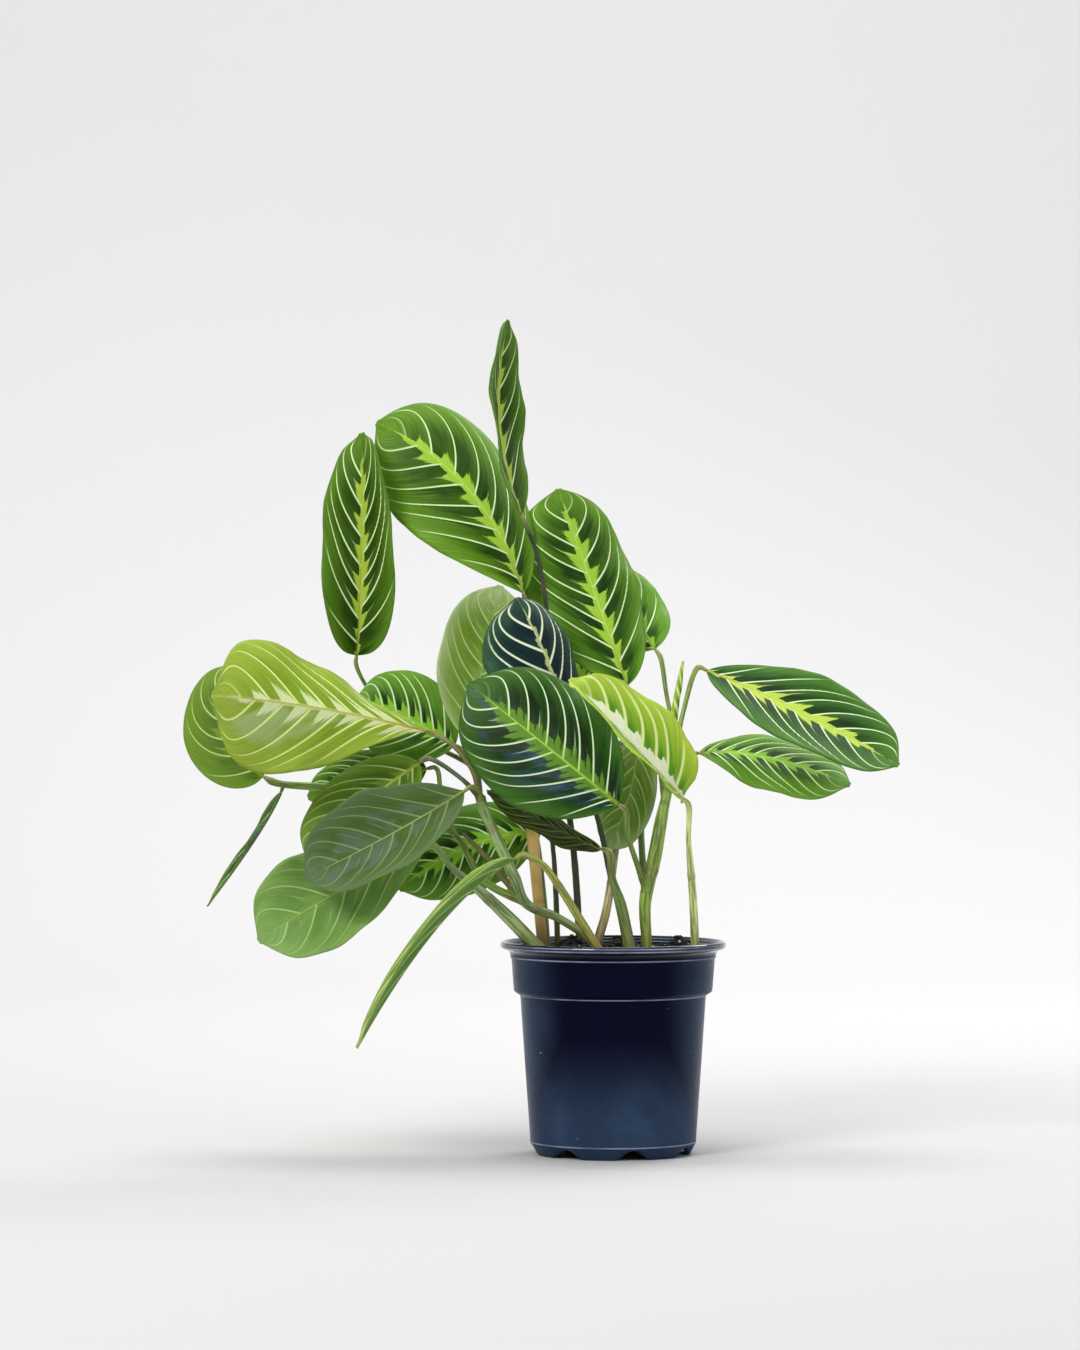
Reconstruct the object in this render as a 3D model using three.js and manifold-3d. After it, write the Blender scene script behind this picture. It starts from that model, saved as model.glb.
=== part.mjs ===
// Potted prayer plant: patterned waved leaves on thin stems, in a round nursery pot of dark soil.
// Units are millimetres. +Z is up, -Y is the front, and the origin is on the ground under the pot's axis.

import * as THREE from 'three';
import { mergeVertices } from 'three/addons/utils/BufferGeometryUtils.js';
import Module from 'manifold-3d';

const wasm = await Module();
wasm.setup();

// Driving dimensions

const CLEARANCE = 0.35;

const POT = {
  rimRadius: 70,
  height: 131.6,
  wall: 1.3,
  footRadius: 48,
  bandRadius: 51.6,
  bandHeight: 7.7,
  stepRadius: 57.5,
  stepHeight: 98,
  collarRadius: 61.6,
  collarHeight: 102,
  ridgeRadius: 63.7,
  ridgeHeight: 122,
  neckRadius: 64.7,
  neckHeight: 125.4,
  lipHeight: 4.5,
  lipWidth: 2.6,
  segments: 48,
};

const FLOOR = {
  topHeight: 8.5,
  thickness: 1.8,
  padRadius: 15,
};

const ARCHES = {
  count: 7,
  firstAngle: THREE.MathUtils.degToRad(-76),
  width: 27,
  height: 6,
  steps: 10,
};

const SOIL = {
  edgeHeight: 123.2,
  crownHeight: 128,
  rings: 10,
};

const BLADE = {
  thickness: 0.8,
  rows: 10,
  columns: 6,
  baseHalfWidth: 1.2,
  tipHalfWidth: 2,
  tipSpread: 8,
  flatShare: 0.45,
};

const STALK = {
  sides: 6,
  stepLength: 13,
  endRadius: 1.1,
  neckLength: 6,
};

const CANE = {
  foot: [-42, 15, 108],
  head: [-58, 16, 287],
  footRadius: 3.1,
  headRadius: 4.6,
  nodeSpacing: 62,
};

// Blades: midrib from base over mid to tip, the way the upper face looks, and the form across the rib.
// Angles are in degrees: fold lifts (+) or drops (-) both halves, curl bends them on, and twist turns the
// blade about its rib from base to tip. broadest is a place along the rib, from 0 to 1.

const LEAVES = {
  crown: {
    base: [-57, -8, 396], mid: [-71, 0, 456], tip: [-65, 10, 517],
    up: [0.94, -0.33, 0.1], width: 56, broadest: 0.48, fold: 8, curl: 10, waves: 2.2, amplitude: 2,
  },
  upper_left: {
    base: [-56, 14, 348], mid: [-90, 24, 412], tip: [-148, 42, 455],
    up: [0.34, -0.88, 0.33], width: 92, broadest: 0.56, fold: -8, curl: -26, waves: 1.6, amplitude: 1.4,
    twist: -34,
  },
  far_left: {
    base: [-160, 30, 309], mid: [-156, 20, 377], tip: [-157, 33, 448],
    up: [-0.2, -0.98, 0], width: 54, broadest: 0.42, fold: 20, curl: 22, waves: 2.7, amplitude: 2.6,
    twist: -40,
  },
  upper_mid: {
    base: [9, 22, 290], mid: [-14, 41, 356], tip: [-34, 59, 414],
    up: [0.4, -0.9, 0.14], width: 82, broadest: 0.53, fold: -6, curl: -30, waves: 2.6, amplitude: 2.2,
  },
  upper_right: {
    base: [27, 52, 313], mid: [7, 66, 340], tip: [-17, 84, 370],
    up: [0.25, -0.9, 0.3], width: 60, broadest: 0.5, fold: -5, curl: -20, waves: 2, amplitude: 1.5,
  },
  mid_left: {
    base: [-98, 6, 253], mid: [-129, 12, 270], tip: [-160, 26, 282],
    up: [-0.15, -0.95, 0.2], width: 58, broadest: 0.5, fold: 5, curl: -14, waves: 2.2, amplitude: 2,
  },
  young_left: {
    base: [-117, -22, 262], mid: [-180, -50, 276], tip: [-244, -74, 284],
    up: [-0.1, -0.92, 0.38], width: 89, broadest: 0.7, fold: -12, curl: -20, waves: 3.2, amplitude: 2.8,
    twist: -45,
  },
  low_left: {
    base: [-216, -15, 234], mid: [-242, -9, 264], tip: [-233, 6, 302],
    up: [-0.2, -0.95, 0.2], width: 52, broadest: 0.45, fold: 0, curl: -18, waves: 2, amplitude: 1.6,
  },
  hanging_left: {
    base: [-205, -17, 224], mid: [-221, -18, 195], tip: [-250, -22, 154],
    up: [-0.82, -0.1, 0.56], width: 42, broadest: 0.45, fold: 4, curl: 6, waves: 1.6, amplitude: 1,
  },
  lower_left: {
    base: [-120, -14, 242], mid: [-155, -24, 216], tip: [-189, -25, 184],
    up: [-0.15, -0.97, 0.15], width: 52, broadest: 0.5, fold: -4, curl: -12, waves: 2.2, amplitude: 1.8,
  },
  shaded_left: {
    base: [-116, 10, 238], mid: [-152, 14, 231], tip: [-190, 16, 220],
    up: [-0.1, -0.85, 0.5], width: 44, broadest: 0.5, fold: 4, curl: -10, waves: 2, amplitude: 1.5,
  },
  turned_left: {
    base: [-92, -38, 225], mid: [-138, -52, 198], tip: [-188, -60, 173],
    up: [0.2, 0.9, -0.37], width: 64, broadest: 0.58, fold: -14, curl: -24, waves: 2.6, amplitude: 2.4,
  },
  drooping_left: {
    base: [-116, -26, 189], mid: [-168, -38, 164], tip: [-217, -48, 134],
    up: [0.12, 0.96, -0.2], width: 66, broadest: 0.64, fold: -8, curl: -18, waves: 3.4, amplitude: 4,
  },
  inner_left: {
    base: [-45, 27, 198], mid: [-89, 19, 190], tip: [-133, 8, 163],
    up: [-0.15, -0.93, 0.3], width: 58, broadest: 0.5, fold: -4, curl: -14, waves: 2, amplitude: 1.6,
  },
  hanging_front: {
    base: [-61, -46, 184], mid: [-107, -60, 144], tip: [-156, -64, 70],
    up: [-0.72, -0.3, 0.6], width: 19, broadest: 0.42, fold: 44, curl: 30, waves: 1.5, amplitude: 0.6,
  },
  front: {
    base: [2, -62.4, 218], mid: [-40, -52.4, 252], tip: [-89, -30.4, 291],
    up: [0.05, -0.97, 0.12], width: 85, broadest: 0.55, fold: -4, curl: -20, waves: 2.6, amplitude: 2.4,
  },
  inner_dark: {
    base: [-26, -17, 262], mid: [-41, -20.6, 306], tip: [-60, -14, 344],
    up: [0.6, -0.8, 0.1], width: 76, broadest: 0.55, fold: -10, curl: -34, waves: 2, amplitude: 2,
  },
  turned_mid: {
    base: [-89, 0, 257], mid: [-80, 8, 305], tip: [-70, 6, 352],
    up: [0.25, 0.95, 0.1], width: 58, broadest: 0.52, fold: -8, curl: -20, waves: 2.2, amplitude: 2,
  },
  young_front: {
    base: [41, -66, 222], mid: [13, -74, 252], tip: [-27, -66, 294],
    up: [0.46, -0.77, 0.44], width: 58, broadest: 0.45, fold: 42, curl: 8, waves: 2.4, amplitude: 2.2,
  },
  inner_low: {
    base: [16, 16, 258], mid: [10, 17, 220], tip: [-3, 12, 188],
    up: [0.2, 0.95, 0.2], width: 35, broadest: 0.5, fold: -5, curl: -15, waves: 2, amplitude: 1.2,
  },
  under_front: {
    base: [-8, -34, 190], mid: [-42, -16, 206], tip: [-78, 4, 224],
    up: [0.2, 0.6, 0.75], width: 29, broadest: 0.5, fold: -4, curl: -14, waves: 2.2, amplitude: 1.5,
  },
  right: {
    base: [58, -12, 299], mid: [115, -26, 273], tip: [174, -40, 241],
    up: [0.3, -0.62, 0.75], width: 76, broadest: 0.56, fold: 2, curl: 10, waves: 1.8, amplitude: 1.4,
  },
  right_low: {
    base: [54, 8, 248], mid: [96, 8, 245], tip: [147, 2, 228],
    up: [0.15, -0.62, 0.76], width: 54, broadest: 0.6, fold: -4, curl: -12, waves: 2, amplitude: 1.6,
  },
  back_upper: {
    base: [-14, 60, 255], mid: [-23, 85, 306], tip: [-32, 96, 350],
    up: [0, -0.93, 0.35], width: 60, broadest: 0.5, fold: 6, curl: 10, waves: 2.2, amplitude: 2,
  },
  back_right: {
    base: [11, 50, 242], mid: [19, 95, 252], tip: [30, 140, 242],
    up: [0.1, 0, 1], width: 60, broadest: 0.52, fold: 4, curl: -16, waves: 2.4, amplitude: 2,
  },
  back_left: {
    base: [-67, 55, 252], mid: [-76, 100, 270], tip: [-84, 146, 264],
    up: [-0.1, 0, 1], width: 62, broadest: 0.52, fold: 4, curl: -16, waves: 2.2, amplitude: 2,
  },
  back_low: {
    base: [-24, 55, 222], mid: [-27, 100, 232], tip: [-30, 143, 220],
    up: [0, 0.1, 1], width: 56, broadest: 0.52, fold: 2, curl: -18, waves: 2.6, amplitude: 2.2,
  },
};

// Stems: each branch is a path with a radius at each point; one with "to" runs on to that blade's base.

const STEMS = {
  low_left_stem: [
    { path: [[-30, -24, 110], [-46, -27, 128], [-63, -30, 146], [-81, -32, 163], [-99, -31, 178]],
      radii: [4.2, 4.2, 4, 3.2, 2], to: 'drooping_left' },
  ],
  left_stem: [
    { path: [[1, -6, 110], [-16, -10, 134], [-35, -15, 147], [-54, -20, 156], [-61, -24, 172],
      [-71, -27, 194], [-80, -28, 214], [-82, -28, 222]],
      radii: [2.6, 2.6, 2.6, 3, 3.5, 3.3, 3.1, 3.2] },
    { path: [[-82, -28, 221], [-87, -26, 238], [-100, -23, 254]], radii: [2, 1.5, 1.4], to: 'young_left' },
    { path: [[-82, -28, 221], [-84, -14, 237]], radii: [2, 1.5], to: 'turned_mid' },
    { path: [[-83, -20, 230], [-88, -8, 240]], radii: [1.5, 1.3], to: 'mid_left' },
    { path: [[-82, -28, 221], [-94, -25, 233]], radii: [2, 1.4], to: 'lower_left' },
    { path: [[-81, -28, 217], [-82, -33, 224]], radii: [1.8, 1.4], to: 'turned_left' },
    { path: [[-54, -20, 156], [-80, -19, 170], [-98, -15, 198], [-132, -9, 218], [-169, -9, 226],
      [-204, -13, 229]],
      radii: [2.6, 2.4, 2, 2.1, 2.7, 2.1], to: 'low_left' },
    { path: [[-197, -12, 229], [-202, -14, 228.5]], radii: [1.3, 1.2], to: 'hanging_left' },
    { path: [[-98, -15, 198], [-106, -6, 219]], radii: [1.9, 1.4], to: 'shaded_left' },
    { path: [[-54, -20, 157], [-65, -18, 168], [-78, -22, 184], [-93, -23, 199]],
      radii: [2.4, 2.2, 1.9, 1.2] },
  ],
  tall_stem: [
    { path: [[-20, 20, 110], [-22, 20, 156], [-25, 19, 193], [-32, 14, 243], [-39, 12, 287],
      [-42, 8, 343], [-48, 1, 374]],
      radii: [2.2, 2.2, 2, 1.9, 1.8, 1.5, 1.4], to: 'crown' },
    { path: [[-35, 13, 262], [-46, 14, 310]], radii: [1.7, 1.5], to: 'upper_left' },
  ],
  thin_stem: [
    { path: [[-34, 28, 110], [-35, 28, 150], [-37, 28, 186]], radii: [1.8, 1.8, 1.5], to: 'inner_left' },
  ],
  hanging_stem: [
    { path: [[2, -43, 110], [-11, -45, 131], [-22, -46, 149], [-34, -47, 168], [-44, -47, 181]],
      radii: [2.7, 2.7, 2.6, 2.4, 2], to: 'hanging_front' },
  ],
  mid_stem: [
    { path: [[-15, -30, 110], [-10, -26, 132], [-5, -20, 149], [-1, 0, 170], [3, 24, 196], [7, 27, 243]],
      radii: [2.8, 2.8, 2.7, 2.4, 2, 1.7], to: 'upper_mid' },
    { path: [[-1, 0, 170], [-9, -3, 205], [-20, -14, 240]], radii: [2.1, 1.6, 1.4], to: 'inner_dark' },
  ],
  under_stem: [
    { path: [[13, -42, 110], [9, -41, 132], [4, -40, 156], [-1, -38, 172]],
      radii: [3.6, 3.6, 3.4, 2.2], to: 'under_front' },
  ],
  right_stem: [
    { path: [[21, -30, 110], [20, -31, 134], [19, -32, 155], [21, -32, 168], [25, -32, 185], [29, -30, 207],
      [33, -28, 226], [38, -24, 250], [43, -19, 274]],
      radii: [3.2, 3.2, 3.6, 4, 4.2, 3.8, 2.6, 1.8, 1.5], to: 'right' },
    { path: [[20, -32, 164], [15, -39, 178], [8, -53, 200]], radii: [2.4, 1.8, 1.5], to: 'front' },
    { path: [[24, -31, 185], [33, -8, 215], [39, 24, 252], [34, 40, 285]],
      radii: [2.2, 1.7, 1.5, 1.4], to: 'upper_right' },
    { path: [[33, -28, 226], [39, -10, 242]], radii: [2, 1.5], to: 'right_low' },
    { path: [[31, -29, 218], [27, -12, 250], [20, 6, 268]], radii: [1.8, 1.5, 1.3], to: 'inner_low' },
    { path: [[37, -25, 246], [37, -16, 262]], radii: [1.8, 1.8] },
  ],
  front_stem: [
    { path: [[50, -22, 110], [50, -22, 132], [49, -28, 152], [47, -42, 176], [45, -56, 197]],
      radii: [2.6, 2.6, 2.5, 2.3, 1.6], to: 'young_front' },
  ],
  back_stem: [
    { path: [[20, 30, 110], [20, 31, 160], [18, 32, 200], [19, 36, 228]],
      radii: [2.3, 2.2, 2, 1.6], to: 'back_right' },
    { path: [[18, 32, 200], [0, 42, 214]], radii: [1.8, 1.5], to: 'back_low' },
  ],
  back_left_stem: [
    { path: [[-40, 40, 110], [-44, 44, 160], [-49, 48, 199], [-58, 49, 232]],
      radii: [2.6, 2.5, 2.2, 1.7], to: 'back_left' },
    { path: [[-49, 48, 199], [-38, 56, 226]], radii: [1.9, 1.5], to: 'back_upper' },
    { path: [[-49, 48, 199], [-84, 52, 236], [-130, 47, 262], [-152, 38, 286]],
      radii: [2, 1.7, 1.5, 1.2], to: 'far_left' },
  ],
};

const SPEAR = {
  path: [[37, -15.8, 262.4], [37.5, -12.4, 270], [40.5, -11, 290], [43, -11, 305]],
  radii: [1.9, 2.5, 2, 0.7],
};

// Materials

const MATERIALS = {
  pot: { color: 0x12152b, roughness: 0.28, metalness: 0 },
  soil: { color: 0x1d1612, roughness: 0.95, metalness: 0 },
  cane: { color: 0xcfa067, roughness: 0.7, metalness: 0 },
  stem: { color: 0x6f8f3a, roughness: 0.5, metalness: 0 },
  leaf: { color: 0x3f7a28, roughness: 0.45, metalness: 0 },
  youngLeaf: { color: 0x9fc24a, roughness: 0.45, metalness: 0 },
  darkLeaf: { color: 0x1f4030, roughness: 0.42, metalness: 0 },
};

const LEAF_MATERIALS = {
  young_left: 'youngLeaf',
  young_front: 'youngLeaf',
  front: 'darkLeaf',
  inner_dark: 'darkLeaf',
};

const vector = (values) => new THREE.Vector3(...values);

function toSolid(geometry) {
  const bare = geometry.clone();
  bare.deleteAttribute('normal');
  bare.deleteAttribute('uv');
  const merged = mergeVertices(bare, 1e-4);
  const mesh = new wasm.Mesh({
    numProp: 3,
    vertProperties: Float32Array.from(merged.attributes.position.array),
    triVerts: Uint32Array.from(merged.index.array),
  });
  return new wasm.Manifold(mesh);
}

function toGeometry(solid) {
  const mesh = solid.getMesh();
  const geometry = new THREE.BufferGeometry();
  geometry.setAttribute('position', new THREE.BufferAttribute(mesh.vertProperties, 3));
  geometry.setIndex(new THREE.BufferAttribute(mesh.triVerts, 1));
  geometry.computeVertexNormals();
  return geometry;
}

function indexedGeometry(points, triangles) {
  const geometry = new THREE.BufferGeometry();
  geometry.setFromPoints(points);
  geometry.setIndex(triangles);
  geometry.computeVertexNormals();
  return geometry;
}

// Midrib: a quadratic curve that passes through the blade's base, mid and tip.

function midrib(leaf) {
  const base = vector(leaf.base);
  const tip = vector(leaf.tip);
  const control = vector(leaf.mid).multiplyScalar(2).addScaledVector(base, -0.5).addScaledVector(tip, -0.5);
  return new THREE.QuadraticBezierCurve3(base, control, tip);
}

// Outline: half the blade's width at a place along the rib, an oval with a blunt corner at the tip.

function halfWidth(leaf, along) {
  const full = 0.5 * leaf.width;
  const skew = Math.log(0.5) / Math.log(leaf.broadest);
  const place = 2 * along ** skew - 1;
  const round = place < 0 ? 0.62 : 0.45;
  const oval = full * (1 - place * place) ** round;
  const corner = full * BLADE.tipSpread * (1 - along);
  const least = along > 0.5 ? BLADE.tipHalfWidth : BLADE.baseHalfWidth;
  return Math.max(least, Math.min(oval, corner));
}

// One point of the blade's middle surface, with along from 0 to 1 and across from -1 to 1. The fold fades
// out where the blade is narrow, at its base and tip.

function bladePoint(leaf, curve, along, across) {
  const centre = curve.getPoint(along);
  const tangent = curve.getTangent(along);
  const turn = THREE.MathUtils.degToRad((leaf.twist ?? 0) * (along - 0.5));
  const up = vector(leaf.up).addScaledVector(tangent, -tangent.dot(vector(leaf.up))).normalize();
  up.applyAxisAngle(tangent, turn);
  const side = new THREE.Vector3().crossVectors(tangent, up);
  const half = halfWidth(leaf, along);
  const reach = Math.abs(across) * half;
  const full = 0.5 * leaf.width;
  const fold = THREE.MathUtils.degToRad(leaf.fold) * Math.min(1, half / (BLADE.flatShare * full));
  const curl = THREE.MathUtils.degToRad(leaf.curl);
  const angle = fold + curl * reach / full;
  const out = full / curl * (Math.sin(angle) - Math.sin(fold));
  const rise = full / curl * (Math.cos(fold) - Math.cos(angle));
  const phase = leaf.waves * along + (across > 0 ? 0 : 0.4);
  const taper = Math.sin(Math.PI * along);
  const wave = leaf.amplitude * taper * across * across * Math.sin(2 * Math.PI * phase);
  return centre.addScaledVector(side, Math.sign(across) * out).addScaledVector(up, rise + wave);
}

function bladeNormal(leaf, curve, along, across) {
  const step = 0.02;
  const before = bladePoint(leaf, curve, Math.max(0, along - step), across);
  const after = bladePoint(leaf, curve, Math.min(1, along + step), across);
  const left = bladePoint(leaf, curve, along, Math.max(-1, across - 0.1));
  const right = bladePoint(leaf, curve, along, Math.min(1, across + 0.1));
  return after.sub(before).cross(right.sub(left)).normalize();
}

// Blade: an upper and a lower grid split alike into triangles, closed by a thin strip round the margin.

function leafGeometry(leaf) {
  const { rows, columns, thickness } = BLADE;
  const curve = midrib(leaf);
  const upper = [];
  const lower = [];
  for (let row = 0; row <= rows; row += 1) {
    const along = (1 - Math.cos(Math.PI * row / rows)) / 2;
    for (let column = 0; column <= columns; column += 1) {
      const across = 2 * column / columns - 1;
      const point = bladePoint(leaf, curve, along, across);
      const normal = bladeNormal(leaf, curve, along, across);
      upper.push(point.clone().addScaledVector(normal, thickness / 2));
      lower.push(point.clone().addScaledVector(normal, -thickness / 2));
    }
  }
  const triangles = bladeTriangles(rows, columns, upper.length);
  return indexedGeometry([...upper, ...lower], triangles);
}

function bladeTriangles(rows, columns, count) {
  const triangles = [];
  const at = (row, column) => row * (columns + 1) + column;
  for (let row = 0; row < rows; row += 1) {
    for (let column = 0; column < columns; column += 1) {
      const [a, b] = [at(row, column), at(row + 1, column)];
      const [c, d] = [at(row + 1, column + 1), at(row, column + 1)];
      triangles.push(a, b, c, a, c, d);
      triangles.push(count + a, count + c, count + b, count + a, count + d, count + c);
    }
  }
  const margin = [];
  for (let row = 0; row < rows; row += 1) margin.push(at(row, 0));
  for (let column = 0; column < columns; column += 1) margin.push(at(rows, column));
  for (let row = rows; row > 0; row -= 1) margin.push(at(row, columns));
  for (let column = columns; column > 0; column -= 1) margin.push(at(0, column));
  margin.forEach((from, i) => {
    const to = margin[(i + 1) % margin.length];
    triangles.push(to, from, count + from, to, count + from, count + to);
  });
  return triangles;
}

// Stalk: a closed round sweep whose radius changes along its path.

function sweepGeometry(points, radii, extra = 0) {
  const curve = new THREE.CatmullRomCurve3(points);
  const steps = Math.max(2, Math.round(curve.getLength() / STALK.stepLength));
  const lengths = curve.getLengths(200);
  const total = lengths[200];
  const stations = points.map((_, i) => lengths[Math.round(200 * i / (points.length - 1))] / total);
  const radiusAt = (place) => {
    const next = Math.max(1, stations.findIndex((station) => station >= place - 1e-9));
    const share = (place - stations[next - 1]) / (stations[next] - stations[next - 1]);
    return THREE.MathUtils.lerp(radii[next - 1], radii[next], share) + extra;
  };
  const frames = curve.computeFrenetFrames(steps, false);
  const ring = [];
  for (let step = 0; step <= steps; step += 1) {
    const centre = curve.getPointAt(step / steps);
    const radius = radiusAt(step / steps);
    for (let side = 0; side < STALK.sides; side += 1) {
      const angle = 2 * Math.PI * side / STALK.sides;
      const point = centre.clone().addScaledVector(frames.normals[step], radius * Math.cos(angle));
      ring.push(point.addScaledVector(frames.binormals[step], radius * Math.sin(angle)));
    }
  }
  const triangles = [];
  const sides = STALK.sides;
  for (let step = 0; step < steps; step += 1) {
    for (let side = 0; side < sides; side += 1) {
      const a = step * sides + side;
      const b = step * sides + (side + 1) % sides;
      triangles.push(a, b, b + sides, a, b + sides, a + sides);
    }
  }
  const last = steps * sides;
  for (let side = 1; side < sides - 1; side += 1) {
    triangles.push(0, side + 1, side);
    triangles.push(last, last + side, last + side + 1);
  }
  return indexedGeometry(ring, triangles);
}

// A branch that carries a blade ends just short of it, in line with the blade's own rib.

function branchPath(branch) {
  const points = branch.path.map(vector);
  const radii = [...branch.radii];
  if (branch.to) {
    const curve = midrib(LEAVES[branch.to]);
    const base = curve.getPoint(0);
    const direction = curve.getTangent(0);
    points.push(base.clone().addScaledVector(direction, -STALK.neckLength));
    points.push(base.clone().addScaledVector(direction, -CLEARANCE));
    radii.push(radii.at(-1), STALK.endRadius);
  }
  return { points, radii };
}

function stemSolid(branches, extra = 0) {
  return branches
    .map(branchPath)
    .map(({ points, radii }) => toSolid(sweepGeometry(points, radii, extra)))
    .reduce((whole, branch) => whole.add(branch));
}

// Cane: a straight bamboo stick with slightly thicker nodes, cut square at both ends.

function canePath() {
  const foot = vector(CANE.foot);
  const head = vector(CANE.head);
  const length = foot.distanceTo(head);
  const nodes = Math.floor(length / CANE.nodeSpacing);
  const points = [];
  const radii = [];
  for (let step = 0; step <= 4 * nodes; step += 1) {
    const place = step / (4 * nodes);
    const swell = step % 4 === 2 ? 0.5 : 0;
    points.push(foot.clone().lerp(head, place));
    radii.push(THREE.MathUtils.lerp(CANE.footRadius, CANE.headRadius, place) + swell);
  }
  return { points, radii };
}

function caneGeometry(extra = 0) {
  const { points, radii } = canePath();
  return sweepGeometry(points, radii, extra);
}

// A closed outline of radius and height is turned about the pot's axis.

function turn(outline) {
  const turned = new THREE.LatheGeometry(outline.map(([r, z]) => new THREE.Vector2(r, z)), POT.segments);
  return turned.rotateX(Math.PI / 2);
}

// Pot: a thin turned wall with a rolled lip, a collar, a ridge, a band line, a floor and a centre foot.

function innerWall() {
  const { rimRadius, height, footRadius, wall, lipWidth } = POT;
  return [
    [footRadius + 0.5, FLOOR.topHeight],
    [footRadius + 1.9, FLOOR.topHeight + 2],
    [POT.stepRadius - wall, POT.stepHeight + 0.6],
    [POT.collarRadius - wall, POT.collarHeight + 0.6],
    [POT.ridgeRadius - 2, POT.ridgeHeight - 1],
    [POT.neckRadius - 1.9, POT.neckHeight - 0.5],
    [rimRadius - lipWidth - 1, height - 1],
    [rimRadius - lipWidth, height],
  ];
}

function potGeometry() {
  const { rimRadius, height, footRadius, lipHeight, lipWidth } = POT;
  const under = FLOOR.topHeight - FLOOR.thickness;
  const footWidth = 2.8;
  const outline = [
    [0, 0],
    [FLOOR.padRadius, 0],
    [FLOOR.padRadius + 0.8, under],
    [footRadius - footWidth - 0.6, under],
    [footRadius - footWidth, 0],
    [footRadius - 0.4, 0],
    [footRadius + 0.3, 0.9],
    [POT.bandRadius - 0.5, POT.bandHeight - 0.7],
    [POT.bandRadius, POT.bandHeight],
    [POT.bandRadius - 0.2, POT.bandHeight + 0.7],
    [POT.stepRadius, POT.stepHeight],
    [POT.collarRadius - 0.4, POT.collarHeight - 1.4],
    [POT.collarRadius, POT.collarHeight],
    [POT.ridgeRadius - 0.7, POT.ridgeHeight - 0.9],
    [POT.ridgeRadius, POT.ridgeHeight],
    [POT.ridgeRadius - 0.1, POT.ridgeHeight + 0.9],
    [POT.neckRadius, POT.neckHeight],
    [rimRadius - lipWidth, height - lipHeight],
    [rimRadius - 0.5, height - 0.86 * lipHeight],
    [rimRadius, height - 0.56 * lipHeight],
    [rimRadius - 0.3, height - 0.21 * lipHeight],
    [rimRadius - 1.2, height],
    ...innerWall().reverse(),
    [0, FLOOR.topHeight],
  ];
  return toGeometry(cutArches(toSolid(turn(outline))));
}

// Low wave-shaped arches between the feet let water run out from under the pot.

function cutArches(pot) {
  const { count, firstAngle, width, height, steps } = ARCHES;
  const wave = new THREE.Shape();
  wave.moveTo(-width / 2, -1);
  for (let step = 0; step <= steps; step += 1) {
    const place = step / steps;
    wave.lineTo(width * (place - 0.5), 0.5 * height * (1 - Math.cos(2 * Math.PI * place)));
  }
  wave.lineTo(width / 2, -1);
  const arch = new THREE.ExtrudeGeometry(wave, { depth: 12, bevelEnabled: false });
  arch.rotateX(Math.PI / 2).rotateZ(Math.PI / 2).translate(POT.footRadius - 6, 0, 0).rotateZ(firstAngle);
  let cut = pot;
  for (let i = 0; i < count; i += 1) {
    cut = cut.subtract(toSolid(arch));
    arch.rotateZ(2 * Math.PI / count);
  }
  return cut;
}

// Soil: fills the pot, with a gently crowned top of lumps, and a plain hole for each stem and the cane.

const LUMPS = [
  { at: [42, 14], radius: 10, height: 9 },
  { at: [-26, 2], radius: 9, height: 9 },
  { at: [4, -6], radius: 12, height: 5 },
  { at: [-46, -8], radius: 9, height: 4 },
  { at: [24, -48], radius: 9, height: 4 },
  { at: [-28, -44], radius: 10, height: 3.5 },
  { at: [6, 46], radius: 13, height: 4.5 },
  { at: [-20, 50], radius: 8, height: 3 },
];

function soilHeight(x, y, radius) {
  const centre = Math.cos(0.5 * Math.PI * Math.min(1, Math.hypot(x, y) / radius));
  const crown = SOIL.edgeHeight + (SOIL.crownHeight - SOIL.edgeHeight) * centre;
  const crumbs = 0.9 * Math.sin(0.34 * x + 1.3) * Math.sin(0.31 * y) + 0.5 * Math.sin(0.9 * x - 0.7 * y);
  const lumps = LUMPS.map(({ at, radius: size, height }) => {
    const distance = Math.hypot(x - at[0], y - at[1]) / size;
    return height * Math.exp(-2.2 * distance * distance);
  });
  return crown + centre ** 0.3 * crumbs + lumps.reduce((sum, lump) => sum + lump, 0);
}

function soilGeometry() {
  const side = innerWall().slice(0, 5).map(([r, z]) => [r - CLEARANCE, z + (z < 10 ? CLEARANCE : 0)]);
  const edge = side.at(-1)[0];
  const outline = [[0, side[0][1]], ...side, [edge + 0.4, SOIL.edgeHeight]];
  for (let ring = 1; ring <= SOIL.rings; ring += 1) {
    outline.push([edge * (1 - ring / SOIL.rings), SOIL.edgeHeight]);
  }
  const turned = turn(outline);
  const place = turned.attributes.position;
  for (let i = 0; i < place.count; i += 1) {
    const [x, y, z] = [place.getX(i), place.getY(i), place.getZ(i)];
    if (z > SOIL.edgeHeight - 0.01 && Math.hypot(x, y) < edge - 0.5) place.setZ(i, soilHeight(x, y, edge));
  }
  const holes = Object.values(STEMS).map((branches) => stemSolid([branches[0]], CLEARANCE));
  const solid = holes.reduce((soil, hole) => soil.subtract(hole), toSolid(turned));
  return toGeometry(solid.subtract(toSolid(caneGeometry(CLEARANCE))));
}

function mesh(name, geometry, material) {
  const piece = new THREE.Mesh(geometry, new THREE.MeshStandardMaterial(MATERIALS[material]));
  piece.name = name;
  return piece;
}

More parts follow.
